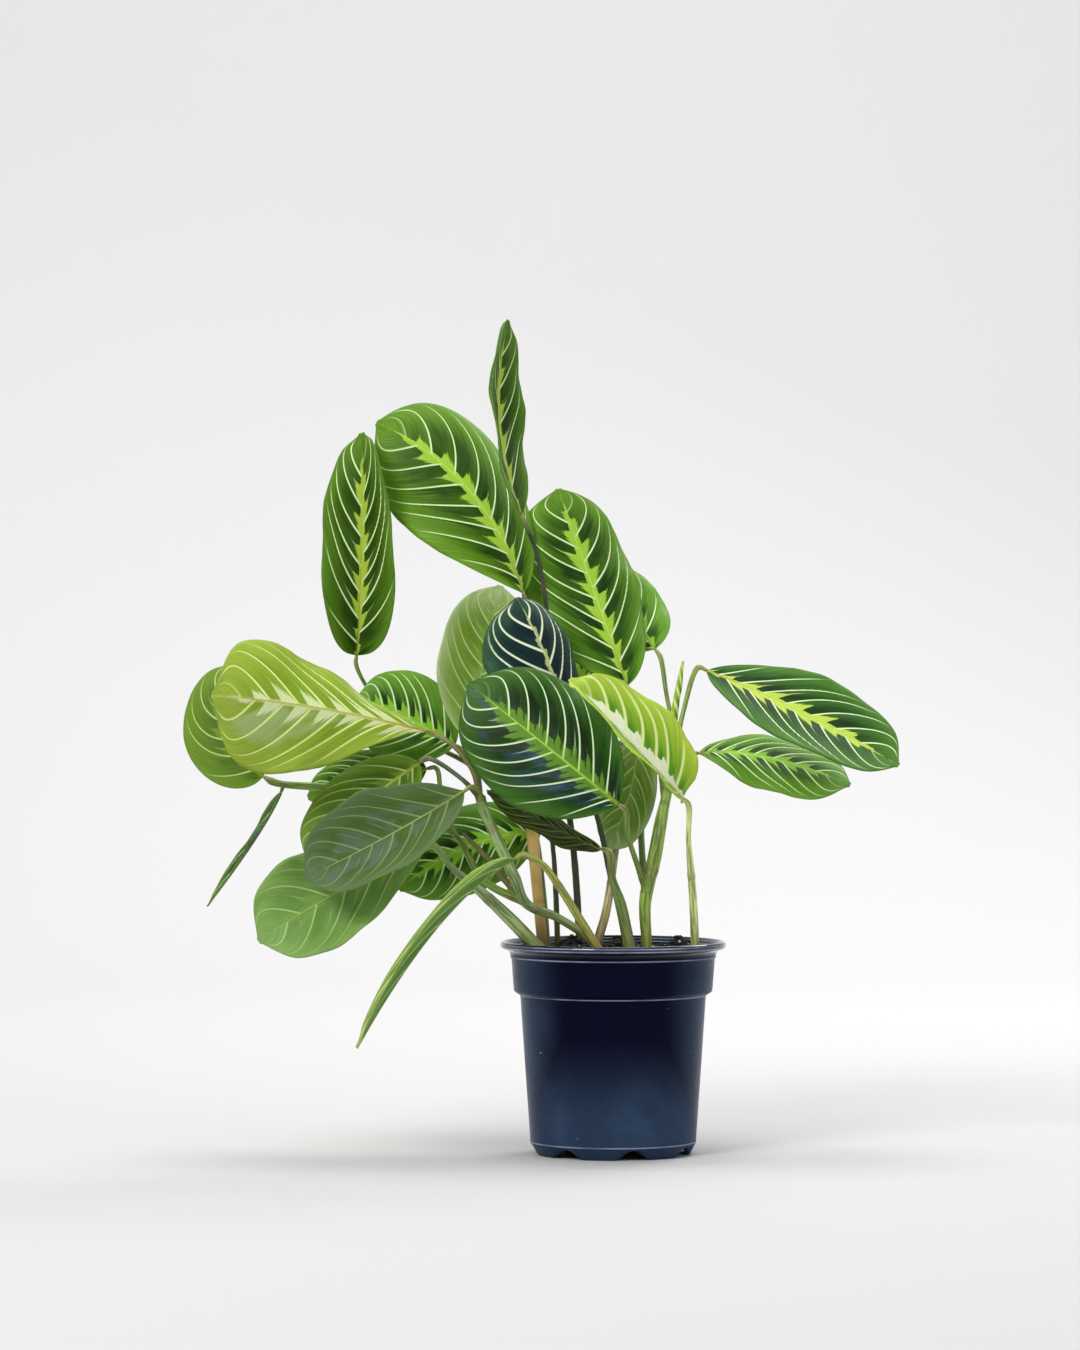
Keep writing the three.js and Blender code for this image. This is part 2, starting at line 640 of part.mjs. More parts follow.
const plant = new THREE.Group();
plant.add(mesh('pot', potGeometry(), 'pot'));
plant.add(mesh('soil', soilGeometry(), 'soil'));
plant.add(mesh('cane', caneGeometry(), 'cane'));
for (const [name, branches] of Object.entries(STEMS)) {
  plant.add(mesh(name, toGeometry(stemSolid(branches)), 'stem'));
}
plant.add(mesh('leaf_spear', sweepGeometry(SPEAR.path.map(vector), SPEAR.radii), 'youngLeaf'));
for (const [name, leaf] of Object.entries(LEAVES)) {
  plant.add(mesh(`leaf_${name}`, leafGeometry(leaf), LEAF_MATERIALS[name] ?? 'leaf'));
}

export default plant;
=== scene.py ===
"""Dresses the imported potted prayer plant: veined leaves, stalks, cane, soil, nursery pot, floor and light.

Sizes are real ones in millimetres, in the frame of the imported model, and become metres where a mesh is made.
"""

import logging
import math
from dataclasses import dataclass, field, replace
from enum import Enum

import bpy
import numpy as np
from bpy.types import Material, Mesh, Node, NodeSocket, NodeTree, Object, World
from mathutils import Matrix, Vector, kdtree, noise


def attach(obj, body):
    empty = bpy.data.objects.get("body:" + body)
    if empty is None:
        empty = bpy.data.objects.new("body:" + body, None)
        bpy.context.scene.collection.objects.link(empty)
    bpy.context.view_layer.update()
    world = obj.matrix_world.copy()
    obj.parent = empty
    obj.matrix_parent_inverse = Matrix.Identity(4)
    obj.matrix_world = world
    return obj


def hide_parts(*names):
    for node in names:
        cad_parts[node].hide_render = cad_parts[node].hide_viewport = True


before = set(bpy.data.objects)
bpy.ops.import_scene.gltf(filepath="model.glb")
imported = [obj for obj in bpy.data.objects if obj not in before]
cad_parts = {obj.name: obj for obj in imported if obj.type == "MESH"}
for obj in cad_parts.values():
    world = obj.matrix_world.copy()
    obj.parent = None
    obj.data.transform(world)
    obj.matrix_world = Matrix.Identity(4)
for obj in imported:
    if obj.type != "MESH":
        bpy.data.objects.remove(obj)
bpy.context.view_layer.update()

LOG = logging.getLogger("potted_plant")
MM = 0.001
SEED = 4058
HALF_SHIFT = 0.45  # How far the veins of a blade's left half stand behind the right ones, in cells
Feed = NodeSocket | float | tuple
Array = np.ndarray


class Slot(str, Enum):
    """The record's material slots."""

    POT = "pot_plastic"
    SOIL = "soil"
    BAMBOO = "bamboo"
    STEM = "stem"
    GREEN = "leaf_green"
    DARK = "leaf_dark"
    YOUNG = "leaf_young"


def srgb(red: float, green: float, blue: float) -> tuple:
    """Turns a colour of 0 to 255 values into the linear one that shaders take.

    Args:
        red: Red, 0 to 255.
        green: Green, 0 to 255.
        blue: Blue, 0 to 255.

    Returns:
        A tuple of four linear values, the last one 1.
    """
    shares = [channel / 255 for channel in (red, green, blue)]
    linear = [s / 12.92 if s <= 0.04045 else ((s + 0.055) / 1.055) ** 2.4 for s in shares]
    return (*linear, 1.0)


def smooth(value: float | Array, low: float, high: float) -> Array:
    """Eases a number or array from 0 at low to 1 at high."""
    share = np.clip((value - low) / (high - low), 0, 1)
    return share * share * (3 - 2 * share)


def bell(value: Array, half: float) -> Array:
    """Gives 1 at 0, falling to next to nothing at twice the half width."""
    return np.exp(-((value / half) ** 2))


def unit(vectors: Array) -> Array:
    """Brings vectors to a length of 1."""
    return vectors / np.linalg.norm(vectors, axis=-1, keepdims=True)


# Shader building


class Graph:
    """Adds shader nodes to one node tree, from plain values and sockets."""

    def __init__(self, tree: NodeTree) -> None:
        """Starts on a tree."""
        self.tree = tree

    def add(self, kind: str, **settings: object) -> Node:
        """Adds one node.

        Args:
            kind: The node's type name.
            **settings: Properties to set on it.

        Returns:
            The node.
        """
        node = self.tree.nodes.new(kind)
        for name, value in settings.items():
            setattr(node, name, value)
        return node

    def feed(self, socket: NodeSocket, value: Feed) -> None:
        """Links a socket to an input, or sets a plain value on it.

        Args:
            socket: The input to feed.
            value: A socket, a number, a colour of three 0 to 255 values or a linear one of four.
        """
        if isinstance(value, NodeSocket):
            self.tree.links.new(value, socket)
        else:
            colour = isinstance(value, tuple) and len(value) == 3
            socket.default_value = srgb(*value) if colour else value

    def feed_each(self, node: Node, values: dict) -> None:
        """Feeds several inputs of a node, given by name."""
        for name, value in values.items():
            self.feed(node.inputs[name], value)

    def math(self, operation: str, *values: Feed) -> NodeSocket:
        """Adds one step of arithmetic.

        Args:
            operation: The math node's operation.
            *values: Its inputs, sockets or numbers.

        Returns:
            The result's socket.
        """
        node = self.add("ShaderNodeMath", operation=operation)
        for socket, value in zip(node.inputs, values):
            self.feed(socket, value)
        return node.outputs[0]

    def times(self, *values: Feed) -> NodeSocket:
        """Multiplies any number of values.

        Args:
            *values: Sockets or numbers.

        Returns:
            The product's socket.
        """
        result = values[0]
        for value in values[1:]:
            result = self.math("MULTIPLY", result, value)
        return result

    def vary(self, value: Feed, span: tuple) -> NodeSocket:
        """Takes 0 to 1 to a span, given as its start and its change."""
        return self.math("MULTIPLY_ADD", value, span[1], span[0])

    def rest(self, value: Feed) -> NodeSocket:
        """Gives what a value lacks to 1."""
        return self.math("SUBTRACT", 1.0, value)

    def apart(self, first: Feed, second: Feed) -> NodeSocket:
        """Gives how far two values are apart."""
        return self.math("ABSOLUTE", self.math("SUBTRACT", first, second))

    def step(self, value: Feed, low: Feed, high: Feed) -> NodeSocket:
        """Eases a value from 0 at low to 1 at high, or the other way round where low is the larger.

        Args:
            value: The value to ease.
            low: Where the result is 0.
            high: Where the result is 1.

        Returns:
            The eased value's socket.
        """
        node = self.add("ShaderNodeMapRange", interpolation_type="SMOOTHSTEP")
        self.feed_each(node, {"Value": value, "From Min": low, "From Max": high})
        return node.outputs["Result"]

    def mix(self, factor: Feed, first: Feed, second: Feed) -> NodeSocket:
        """Mixes two colours.

        Args:
            factor: Share of the second colour.
            first: The colour at 0.
            second: The colour at 1.

        Returns:
            The mixed colour's socket.
        """
        node = self.add("ShaderNodeMix", data_type="RGBA")
        for index, value in ((0, factor), (6, first), (7, second)):
            self.feed(node.inputs[index], value)
        return node.outputs[2]

    def layers(self, colour: Feed, layers: tuple) -> Feed:
        """Lays colours over one another.

        Args:
            colour: The lowest colour.
            layers: Mask, share and colour of each layer, the lowest first.

        Returns:
            The mixed colour's socket.
        """
        for mask, share, tone in layers:
            colour = self.mix(self.times(mask, share), colour, tone)
        return colour

    def blend(self, factor: Feed, first: Feed, second: Feed, surface: NodeSocket) -> None:
        """Mixes two shaders.

        Args:
            factor: Share of the second shader.
            first: The shader at 0.
            second: The shader at 1.
            surface: The input that takes the mixed shader.
        """
        node = self.add("ShaderNodeMixShader")
        for socket, value in zip(node.inputs, (factor, first, second)):
            self.feed(socket, value)
        self.feed(surface, node.outputs[0])

    def attribute(self, name: str, output: str = "Fac") -> NodeSocket:
        """Reads a value that the mesh carries, as a number, a Vector or a Color."""
        return self.add("ShaderNodeAttribute", attribute_name=name).outputs[output]

    def join(self, x: Feed, y: Feed, z: Feed) -> NodeSocket:
        """Makes a vector from three values.

        Args:
            x: First value.
            y: Second value.
            z: Third value.

        Returns:
            The vector's socket.
        """
        node = self.add("ShaderNodeCombineXYZ")
        for socket, value in zip(node.inputs, (x, y, z)):
            self.feed(socket, value)
        return node.outputs[0]

    def noise(self, place: Feed, scale: float, detail: float = 2.0, rough: float = 0.5) -> NodeSocket:
        """Samples smooth noise.

        Args:
            place: The vector to sample at.
            scale: How fine the noise is.
            detail: Number of finer layers.
            rough: Weight of the finer layers.

        Returns:
            The noise value's socket, about 0.2 to 0.8.
        """
        node = self.add("ShaderNodeTexNoise")
        self.feed_each(node, {"Vector": place, "Scale": scale, "Detail": detail, "Roughness": rough})
        return node.outputs[0]

    def object_place(self) -> NodeSocket:
        """Gives the place on the object, in metres in the model's frame."""
        return self.add("ShaderNodeTexCoord").outputs["Object"]


def new_group(name: str, inputs: dict, outputs: dict) -> tuple:
    """Starts a shader node group.

    Args:
        name: The group's name.
        inputs: Input names with their default numbers.
        outputs: Output names with their socket types.

    Returns:
        The group, its Graph, the input node's sockets and the output node's sockets.
    """
    group = bpy.data.node_groups.new(name, "ShaderNodeTree")
    for label, default in inputs.items():
        socket = group.interface.new_socket(label, in_out="INPUT", socket_type="NodeSocketFloat")
        socket.default_value = default
    for label, kind in outputs.items():
        group.interface.new_socket(label, in_out="OUTPUT", socket_type=kind)
    graph = Graph(group)
    entry = graph.add("NodeGroupInput")
    leave = graph.add("NodeGroupOutput")
    return group, graph, entry.outputs, leave.inputs


@dataclass(frozen=True)
class LeafMarks:
    """The group that turns a blade's own coordinates into its markings.

    A cell is the stretch of blade between two veins. From its vein nearer the base a pale tooth of the band
    along the rib grows wider, ends in points that follow the veins, and drops back. The blade is darkest
    behind it. Widths are in millimetres, and two values for what varies are its start and its change.

    Args:
        seeds: Keep apart the random values of the halves, those of the leaves, and the leaves' noises.
        vein_half: Half width of a vein from rib to margin, as shares of Vein Width.
        rib_half: Half width of the rib from base to tip.
        peak: Where in its cell a tooth is widest.
        points: Number of points on a tooth.
        point_depth: Depth of the points as a share of the tooth.
        tooth_size: Size of a tooth as a share of Lobe Reach.
        drop: How far past its widest place a tooth starts and ends to drop.
        wobble: How far noise moves the band's outline.
        gap_offset: How far from a tooth's widest place the dark gaps lie, in cells.
        gap_half: Outer and inner end of a gap's soft edge.
        streak_half: Outer and inner end of the soft edge of a pale streak past a tooth.
    """

    seeds: tuple = (17.3, 61.7, 7.0)
    vein_half: tuple = (1.12, -0.6)
    rib_half: tuple = (0.85, -0.62)
    peak: tuple = (0.34, 0.14)
    points: tuple = (1.5, 1.6)
    point_depth: float = 0.38
    tooth_size: tuple = (0.75, 0.35)
    drop: tuple = (0.03, 0.2)
    wobble: float = 1.8
    gap_offset: float = 0.2
    gap_half: tuple = (0.75, 0.2)
    streak_half: tuple = (0.42, 0.12)

    def build(self) -> NodeTree:
        """Makes the group.

        Returns:
            The group, with masks for each marking and a relief value.
        """
        inputs = {
            "Vein Width": 0.55, "Lobe Reach": 10.4, "Lobe Base": 0.26, "Lobe Taper": 0.7,
            "Lobe Softness": 0.25, "Gaps": 0.0, "Blotch Reach": 0.62, "Streaks": 1.0, "Painted Sheen On One Side": 0.0,
        }
        names = ("Vein", "Rib", "Lobe", "Blotch", "Margin", "Tip", "Painted Sheen", "Grain", "Relief")
        outputs = {name: "NodeSocketFloat" for name in names}
        group, graph, entry, leave = new_group("leaf_marks", inputs, outputs)
        read = ("across", "reach", "along", "tint", "pitch", "root", "lobes", "vein_place")
        across, reach, along, tint, pitch, root, lobes, place = (graph.attribute(name) for name in read)
        side = graph.math("LESS_THAN", across, 0.0)
        edge = graph.math("ABSOLUTE", across)
        place = graph.math("MULTIPLY_ADD", side, HALF_SHIFT, place)
        share = graph.math("FRACT", place)
        marker = graph.math("MULTIPLY_ADD", side, self.seeds[0], graph.math("FLOOR", place))
        random = graph.add("ShaderNodeTexWhiteNoise", noise_dimensions="1D")
        graph.feed(random.inputs["W"], graph.math("MULTIPLY_ADD", tint, self.seeds[1], marker))
        split = graph.add("ShaderNodeSeparateColor")
        graph.feed(split.inputs[0], random.outputs["Color"])
        first, second, third = split.outputs
        shift = graph.math("MULTIPLY_ADD", tint, self.seeds[2], side)
        kinds = ((5.0, 1.6, 3.0, 0.6), (26.0, 1.3, 3.0, 0.5), (1.4, 2.4, 2.0, 0.5), (0.8, 2.2, 2.0, 0.5))
        noises = []
        for by_cell, by_edge, detail, rough in kinds:
            spot = graph.join(graph.times(place, by_cell), graph.times(edge, by_edge), shift)
            noises.append(graph.noise(spot, 1.0, detail, rough))
        blur, fine, patches, sheen_noise = noises

        near = graph.times(graph.math("MINIMUM", share, graph.rest(share)), pitch)
        width = graph.times(entry["Vein Width"], graph.vary(edge, self.vein_half))
        vein = graph.times(
            graph.step(near, graph.times(width, 1.4), graph.times(width, 0.6)),
            graph.step(edge, 0.98, 0.8),
            graph.step(root, 0.89, 0.82),
            graph.step(root, 0.0, 0.03),
            graph.step(along, 0.985, 0.94),
        )
        half = graph.vary(along, self.rib_half)
        rib = graph.times(
            graph.step(reach, graph.times(half, 1.35), graph.times(half, 0.6)), graph.step(along, 0.95, 0.8)
        )

        peak = graph.vary(first, self.peak)
        rising = graph.math("MINIMUM", graph.math("DIVIDE", share, peak), 1.0)
        saw = graph.math("FRACT", graph.math("MULTIPLY_ADD", rising, graph.vary(third, self.points), second))
        tooth = graph.math("MULTIPLY_ADD", saw, self.point_depth, graph.times(rising, 1 - self.point_depth))
        start, end = (graph.math("ADD", peak, past) for past in self.drop)
        tooth = graph.times(tooth, graph.step(share, end, start))
        narrow = graph.times(graph.step(along, 0.3, 0.02), entry["Lobe Taper"])
        ends = graph.times(graph.rest(narrow), graph.step(along, 0.94, 0.7))
        size = graph.times(entry["Lobe Reach"], lobes, graph.vary(third, self.tooth_size), ends)
        base = entry["Lobe Base"]
        limit = graph.times(size, graph.math("MULTIPLY_ADD", tooth, graph.rest(base), base))
        moved = graph.math("ADD", reach, -self.wobble / 2)
        moved = graph.math("MULTIPLY_ADD", blur, self.wobble, moved)
        soft = entry["Lobe Softness"]
        lobe = graph.step(moved, graph.math("ADD", limit, soft), graph.math("SUBTRACT", limit, soft))
        gap = 0.0
        for offset in (-self.gap_offset, self.gap_offset):
            away = graph.times(graph.apart(share, graph.math("ADD", peak, offset)), pitch)
            gap = graph.math("MAXIMUM", gap, graph.step(away, *self.gap_half))
        off_rib = graph.step(reach, graph.times(size, 0.22), graph.times(size, 0.5))
        lobe = graph.times(lobe, graph.rest(graph.times(gap, off_rib, entry["Gaps"])))
        streak = graph.times(
            graph.step(graph.times(graph.apart(share, peak), pitch), *self.streak_half),
            graph.step(second, 0.45, 0.5),
            graph.step(reach, graph.times(limit, 1.9), graph.times(limit, 1.0)),
            graph.step(reach, graph.times(limit, 0.5), graph.times(limit, 0.9)),
            entry["Streaks"],
        )

        ragged = graph.math("MULTIPLY_ADD", blur, 0.8, graph.math("ADD", edge, -0.4))
        blotch = graph.times(
            graph.step(ragged, *(graph.math("ADD", entry["Blotch Reach"], end) for end in (0.2, -0.3))),
            graph.vary(graph.step(share, 0.2, 0.6), (0.6, 0.4)),
            graph.vary(patches, (0.42, 0.9)),
            graph.step(along, 0.98, 0.74),
        )
        # Painted sheen: soft patches near the rib, on one half or on both, that stand in for mirrored light.
        other = graph.times(graph.rest(side), entry["Painted Sheen On One Side"])
        painted_sheen = graph.times(graph.step(sheen_noise, 0.44, 0.64), graph.step(edge, 0.86, 0.4), graph.rest(other))
        relief = graph.math("ADD", graph.times(fine, 0.4), graph.times(vein, -0.5))
        values = (
            graph.math("MAXIMUM", vein, graph.times(streak, 0.7)),
            rib,
            lobe,
            graph.math("MINIMUM", blotch, 1.0),
            graph.step(edge, 0.62, 1.0),
            graph.times(graph.step(along, 0.66, 0.98), graph.math("ADD", patches, 0.35)),
            painted_sheen,
            fine,
            graph.math("ADD", relief, graph.times(rib, -0.6)),
        )
        for name, value in zip(names, values):
            graph.feed(leave[name], value)
        return group


def dust_group() -> NodeTree:
    """Makes the group of light wear: soft smudges and sparse small specks.

    Returns:
        The group, with the outputs Smudge and Speck.
    """
    inputs = {"Speck Size": 0.06}
    outputs = {"Smudge": "NodeSocketFloat", "Speck": "NodeSocketFloat"}
    group, graph, entry, leave = new_group("light_wear", inputs, outputs)
    place = graph.object_place()
    cells = graph.add("ShaderNodeTexVoronoi")
    graph.feed_each(cells, {"Vector": place, "Scale": 90.0})
    keep = graph.add("ShaderNodeSeparateColor")
    graph.feed(keep.inputs[0], cells.outputs["Color"])
    near = graph.step(cells.outputs["Distance"], entry["Speck Size"], graph.times(entry["Speck Size"], 0.5))
    graph.feed(leave["Speck"], graph.times(near, graph.step(keep.outputs[0], 0.88, 0.9)))
    graph.feed(leave["Smudge"], graph.step(graph.noise(place, 22.0, 4.0, 0.6), 0.4, 0.75))
    return group


# Finishes


@dataclass(frozen=True)
class Finish:
    """Base of every finish.

    Args:
        name: The material's name.
    """

    name: str

    def begin(self) -> tuple:
        """Starts the material.

        Returns:
            The material, its Graph, its Principled shader and its output node.
        """
        material = bpy.data.materials.new(self.name)
        material.use_nodes = True
        graph = Graph(material.node_tree)
        nodes = material.node_tree.nodes
        return material, graph, nodes["Principled BSDF"], nodes["Material Output"]

    @staticmethod
    def bump(graph: Graph, shader: Node, height: Feed, depth_mm: float) -> None:
        """Adds relief to a shader.

        Args:
            graph: The material's graph.
            shader: The shader whose normal is fed.
            height: The height's socket, about 0 to 1.
            depth_mm: Depth of a height of 1, in millimetres.
        """
        node = graph.add("ShaderNodeBump")
        graph.feed_each(node, {"Height": height, "Distance": depth_mm * MM})
        graph.feed(shader.inputs["Normal"], node.outputs[0])


@dataclass(frozen=True)
class LeafFinish(Finish):
    """The upper or the lower face of a blade.

    Args:
        dark: Colour of the blotches between the veins.
        mid: Colour of the blade beyond them.
        warm: Colour that some blades turn to.
        margin: Colour at the edge.
        lobe: Colour of the toothed band along the rib.
        vein: Colour of the veins.
        rib: Colour of the rib.
        rib_base: Colour of the rib where it leaves the stalk.
        painted_sheen: Colour of a painted soft sheen near the rib, standing in for mirrored light.
        marks: Sizes given to the markings group.
        blotch: Share of the dark colour in the blotches.
        lobes: Share of the lobe colour in the band.
        veins: Share of the vein colour in the veins.
        painted_sheen_share: Share of the painted sheen.
        rough: Surface roughness.
        shine: Strength of the mirrored light.
        glow: Share of light that passes through the blade.
        relief_mm: Depth of the relief.
    """

    dark: tuple
    mid: tuple
    warm: tuple
    margin: tuple
    lobe: tuple
    vein: tuple
    rib: tuple
    rib_base: tuple = (150, 158, 62)
    painted_sheen: tuple = (72, 98, 134)
    marks: dict = field(default_factory=dict)
    blotch: float = 1.0
    lobes: float = 1.0
    veins: float = 1.0
    painted_sheen_share: float = 0.0
    rough: float = 0.44
    shine: float = 0.09
    glow: float = 0.14
    relief_mm: float = 0.35

    def build(self, marks: NodeTree) -> Material:
        """Makes the material.

        Args:
            marks: The leaf markings group.

        Returns:
            The material.
        """
        material, graph, shader, out = self.begin()
        node = graph.add("ShaderNodeGroup", node_tree=marks)
        graph.feed_each(node, self.marks)
        mask = node.outputs
        grain = graph.step(mask["Grain"], 0.3, 0.7)
        patch = graph.step(graph.noise(graph.object_place(), 24.0, 3.0), 0.35, 0.7)
        # Lighter towards the tip and the margin, with patches; on the pale lower face the whitish margin
        # colour makes this a painted sheen.
        light = graph.math("MULTIPLY_ADD", patch, 0.25, graph.times(mask["Tip"], 0.8))
        light = graph.math("MAXIMUM", light, graph.times(mask["Margin"], 0.85))
        blade = graph.mix(graph.times(graph.attribute("tint"), 0.6), self.mid, self.warm)
        lobe = graph.mix(graph.times(grain, 0.22), self.lobe, self.mid)
        vein = graph.mix(graph.times(mask["Margin"], 0.4), self.vein, self.margin)
        vein = graph.mix(graph.times(mask["Lobe"], 0.7 * self.lobes), vein, self.rib)
        rib = graph.mix(graph.step(graph.attribute("along"), 0.34, 0.0), self.rib, self.rib_base)
        colour = graph.layers(
            graph.mix(light, blade, self.margin),
            (
                (mask["Blotch"], self.blotch, self.dark),
                # Painted sheen near the rib, standing in for mirrored light.
                (mask["Painted Sheen"], self.painted_sheen_share, self.painted_sheen),
                (grain, 0.42, self.dark),
                (mask["Lobe"], self.lobes, lobe),
                (mask["Vein"], self.veins, vein),
                (mask["Rib"], 0.85, rib),
            ),
        )
        rough = graph.vary(mask["Grain"], (self.rough - 0.1, 0.2))
        graph.feed_each(shader, {"Base Color": colour, "Roughness": rough, "Specular IOR Level": self.shine})
        self.bump(graph, shader, mask["Relief"], self.relief_mm)
        through = graph.add("ShaderNodeBsdfTranslucent")
        graph.feed(through.inputs["Color"], colour)
        graph.blend(self.glow, shader.outputs[0], through.outputs[0], out.inputs["Surface"])
        return material


@dataclass(frozen=True)
class StalkFinish(Finish):
    """Fleshy stems and leaf stalks, ridged and streaked lengthwise, with brown rings at their joints.

    Args:
        base: Colour near the soil.
        neck: Colour just under a blade.
        scar: Colour of rings, old streaks and spots.
        dull: Colour of the dark furrows.
    """

    base: tuple
    neck: tuple
    scar: tuple
    dull: tuple

    def build(self) -> Material:
        """Makes the material.

        Returns:
            The material.
        """
        material, graph, shader, _ = self.begin()
        ridges = graph.noise(graph.attribute("section", "Vector"), 2.6, 4.0, 0.62)
        blotches = graph.noise(graph.object_place(), 95.0, 3.0)
        spots = graph.noise(graph.object_place(), 300.0, 3.0)
        colour = graph.layers(
            graph.attribute("skin", "Color"),
            (
                (graph.attribute("low"), 0.5, self.base),
                (graph.attribute("neck"), 0.6, self.neck),
                (graph.step(ridges, 0.56, 0.38), 0.7, self.dull),
                (graph.step(blotches, 0.58, 0.74), 0.34, self.scar),
                (graph.attribute("joint"), 0.65, self.scar),
                (graph.step(spots, 0.62, 0.8), 0.4, self.scar),
            ),
        )
        rough = graph.vary(ridges, (0.2, 0.3))
        graph.feed_each(shader, {"Base Color": colour, "Roughness": rough, "Specular IOR Level": 0.5})
        self.bump(graph, shader, graph.math("ADD", ridges, graph.times(spots, 0.25)), 0.5)
        return material


@dataclass(frozen=True)
class CaneFinish(Finish):
    """Dry split bamboo, with long fibres and darker rings at its nodes.

    Args:
        light: Colour of the smooth skin.
        deep: Colour of the fibres and rings.
        dirt: Colour of the dirt on the foot.
    """

    light: tuple
    deep: tuple
    dirt: tuple = (70, 48, 32)

    def build(self) -> Material:
        """Makes the material.

        Returns:
            The material.
        """
        material, graph, shader, _ = self.begin()
        fibres = graph.noise(graph.attribute("section", "Vector"), 6.0, 5.0, 0.65)
        stain = graph.noise(graph.object_place(), 40.0, 3.0)
        colour = graph.layers(
            self.light,
            (
                (graph.step(fibres, 0.4, 0.7), 0.6, self.deep),
                (graph.step(stain, 0.45, 0.8), 0.4, self.deep),
                (graph.attribute("neck"), 0.7, self.deep),
                (graph.attribute("low"), 0.6, self.dirt),
            ),
        )
        graph.feed_each(shader, {"Base Color": colour, "Roughness": graph.vary(fibres, (0.42, 0.3))})
        self.bump(graph, shader, fibres, 0.25)
        return material


@dataclass(frozen=True)
class PotFinish(Finish):
    """Thin glossy moulded plastic with painted highlight lines, a painted bluish reflection, fine mould lines
    and a little dust.

    Args:
        body: Colour of the plastic.
        painted_reflection: Colour of the painted bluish reflection low on the wall and towards both sides.
        painted_highlight: Colour of the painted highlight lines along the edges.
        highlight_heights: Heights of the painted highlight lines in millimetres.
        painted_reflection_fade: Heights between which the painted reflection low on the wall fades.
        polished: Heights between which the wall turns into the polished rim.
        specks: Colour of the dust specks.
        sheen: Tint of the mirrored light.
    """

    body: tuple
    painted_reflection: tuple
    painted_highlight: tuple
    highlight_heights: tuple
    painted_reflection_fade: tuple = (78.0, 10.0)
    polished: tuple = (123.5, 126.5)
    specks: tuple = (214, 214, 208)
    sheen: tuple = (150, 184, 255)

    def build(self, dust: NodeTree) -> Material:
        """Makes the material.

        Args:
            dust: The light wear group.

        Returns:
            The material.
        """
        material, graph, shader, _ = self.begin()
        place = graph.object_place()
        parts = graph.add("ShaderNodeSeparateXYZ")
        graph.feed(parts.inputs[0], place)
        height = graph.times(parts.outputs["Z"], 1 / MM)
        wear = graph.add("ShaderNodeGroup", node_tree=dust)
        graph.feed(wear.inputs["Speck Size"], 0.055)
        smudge = wear.outputs["Smudge"]
        # Painted highlight: patchy light lines at the base band, the step, the ridge and the rim stand in for
        # light caught on those rounded edges.
        painted_highlight_mask = 0.0
        for edge in self.highlight_heights:
            near = graph.step(graph.apart(height, edge), 0.6, 0.15)
            painted_highlight_mask = graph.math("MAXIMUM", painted_highlight_mask, near)
        patchy = graph.step(graph.noise(place, 45.0, 3.0), 0.3, 0.6)
        painted_highlight_mask = graph.times(painted_highlight_mask, graph.vary(patchy, (0.3, 0.45)))
        # Painted reflection: a bluish lighter colour low on the wall and towards both sides stands in for the
        # floor and surroundings mirrored in the plastic; the polished rim gets less of it.
        low = graph.step(height, *self.painted_reflection_fade)
        sides = graph.step(graph.math("ABSOLUTE", parts.outputs["X"]), 0.03, 0.06)
        sides = graph.times(sides, graph.vary(graph.step(height, 124.0, 84.0), (0.6, 0.4)))
        polish = graph.step(height, *self.polished)
        painted_reflection_mask = graph.times(
            graph.math("MAXIMUM", graph.times(low, 0.9), sides),
            graph.vary(smudge, (0.6, 0.4)),
            graph.vary(polish, (1.0, -0.7)),
        )
        colour = graph.mix(painted_highlight_mask, graph.mix(painted_reflection_mask, self.body, self.painted_reflection), self.painted_highlight)
        colour = graph.mix(graph.times(wear.outputs["Speck"], 0.8), colour, self.specks)
        values = {
            "Base Color": colour,
            "Roughness": graph.math("MULTIPLY_ADD", painted_reflection_mask, 0.25, graph.vary(smudge, (0.16, 0.1))),
            "Specular IOR Level": 0.05,
            "Specular Tint": self.sheen,
            "Coat Weight": graph.vary(polish, (0.04, 0.9)),
            "Coat Roughness": 0.08,
        }
        graph.feed_each(shader, values)
        lines = graph.add("ShaderNodeTexWave", bands_direction="Z", wave_profile="SIN")
        graph.feed_each(lines, {"Vector": place, "Scale": 240.0, "Distortion": 0.4})
        relief = graph.math("ADD", graph.times(lines.outputs["Fac"], 0.05), graph.noise(place, 60.0, 2.0))
        self.bump(graph, shader, relief, 0.22)
        return material


@dataclass(frozen=True)
class GrainFinish(Finish):
    """Loose matter such as soil, bark or perlite: two mottled colours and a rough grain.

    Args:
        light: The lighter colour.
        deep: The darker colour.
        scale: How fine the mottling is.
        rough: Surface roughness.
        grain_mm: Depth of the grain.
    """

    light: tuple
    deep: tuple
    scale: float = 320.0
    rough: float = 0.92
    grain_mm: float = 0.5

    def build(self) -> Material:
        """Makes the material.

        Returns:
            The material.
        """
        material, graph, shader, _ = self.begin()
        place = graph.object_place()
        mottle = graph.noise(place, self.scale, 5.0, 0.65)
        patch = graph.noise(place, self.scale / 9, 2.0)
        mixed = graph.math("ADD", graph.times(mottle, 0.7), graph.times(patch, 0.3))
        colour = graph.mix(graph.step(mixed, 0.38, 0.68), self.deep, self.light)
        rough = graph.vary(mottle, (self.rough - 0.08, 0.16))
        graph.feed_each(shader, {"Base Color": colour, "Roughness": rough})
        self.bump(graph, shader, mottle, self.grain_mm)
        return material


# Mesh building


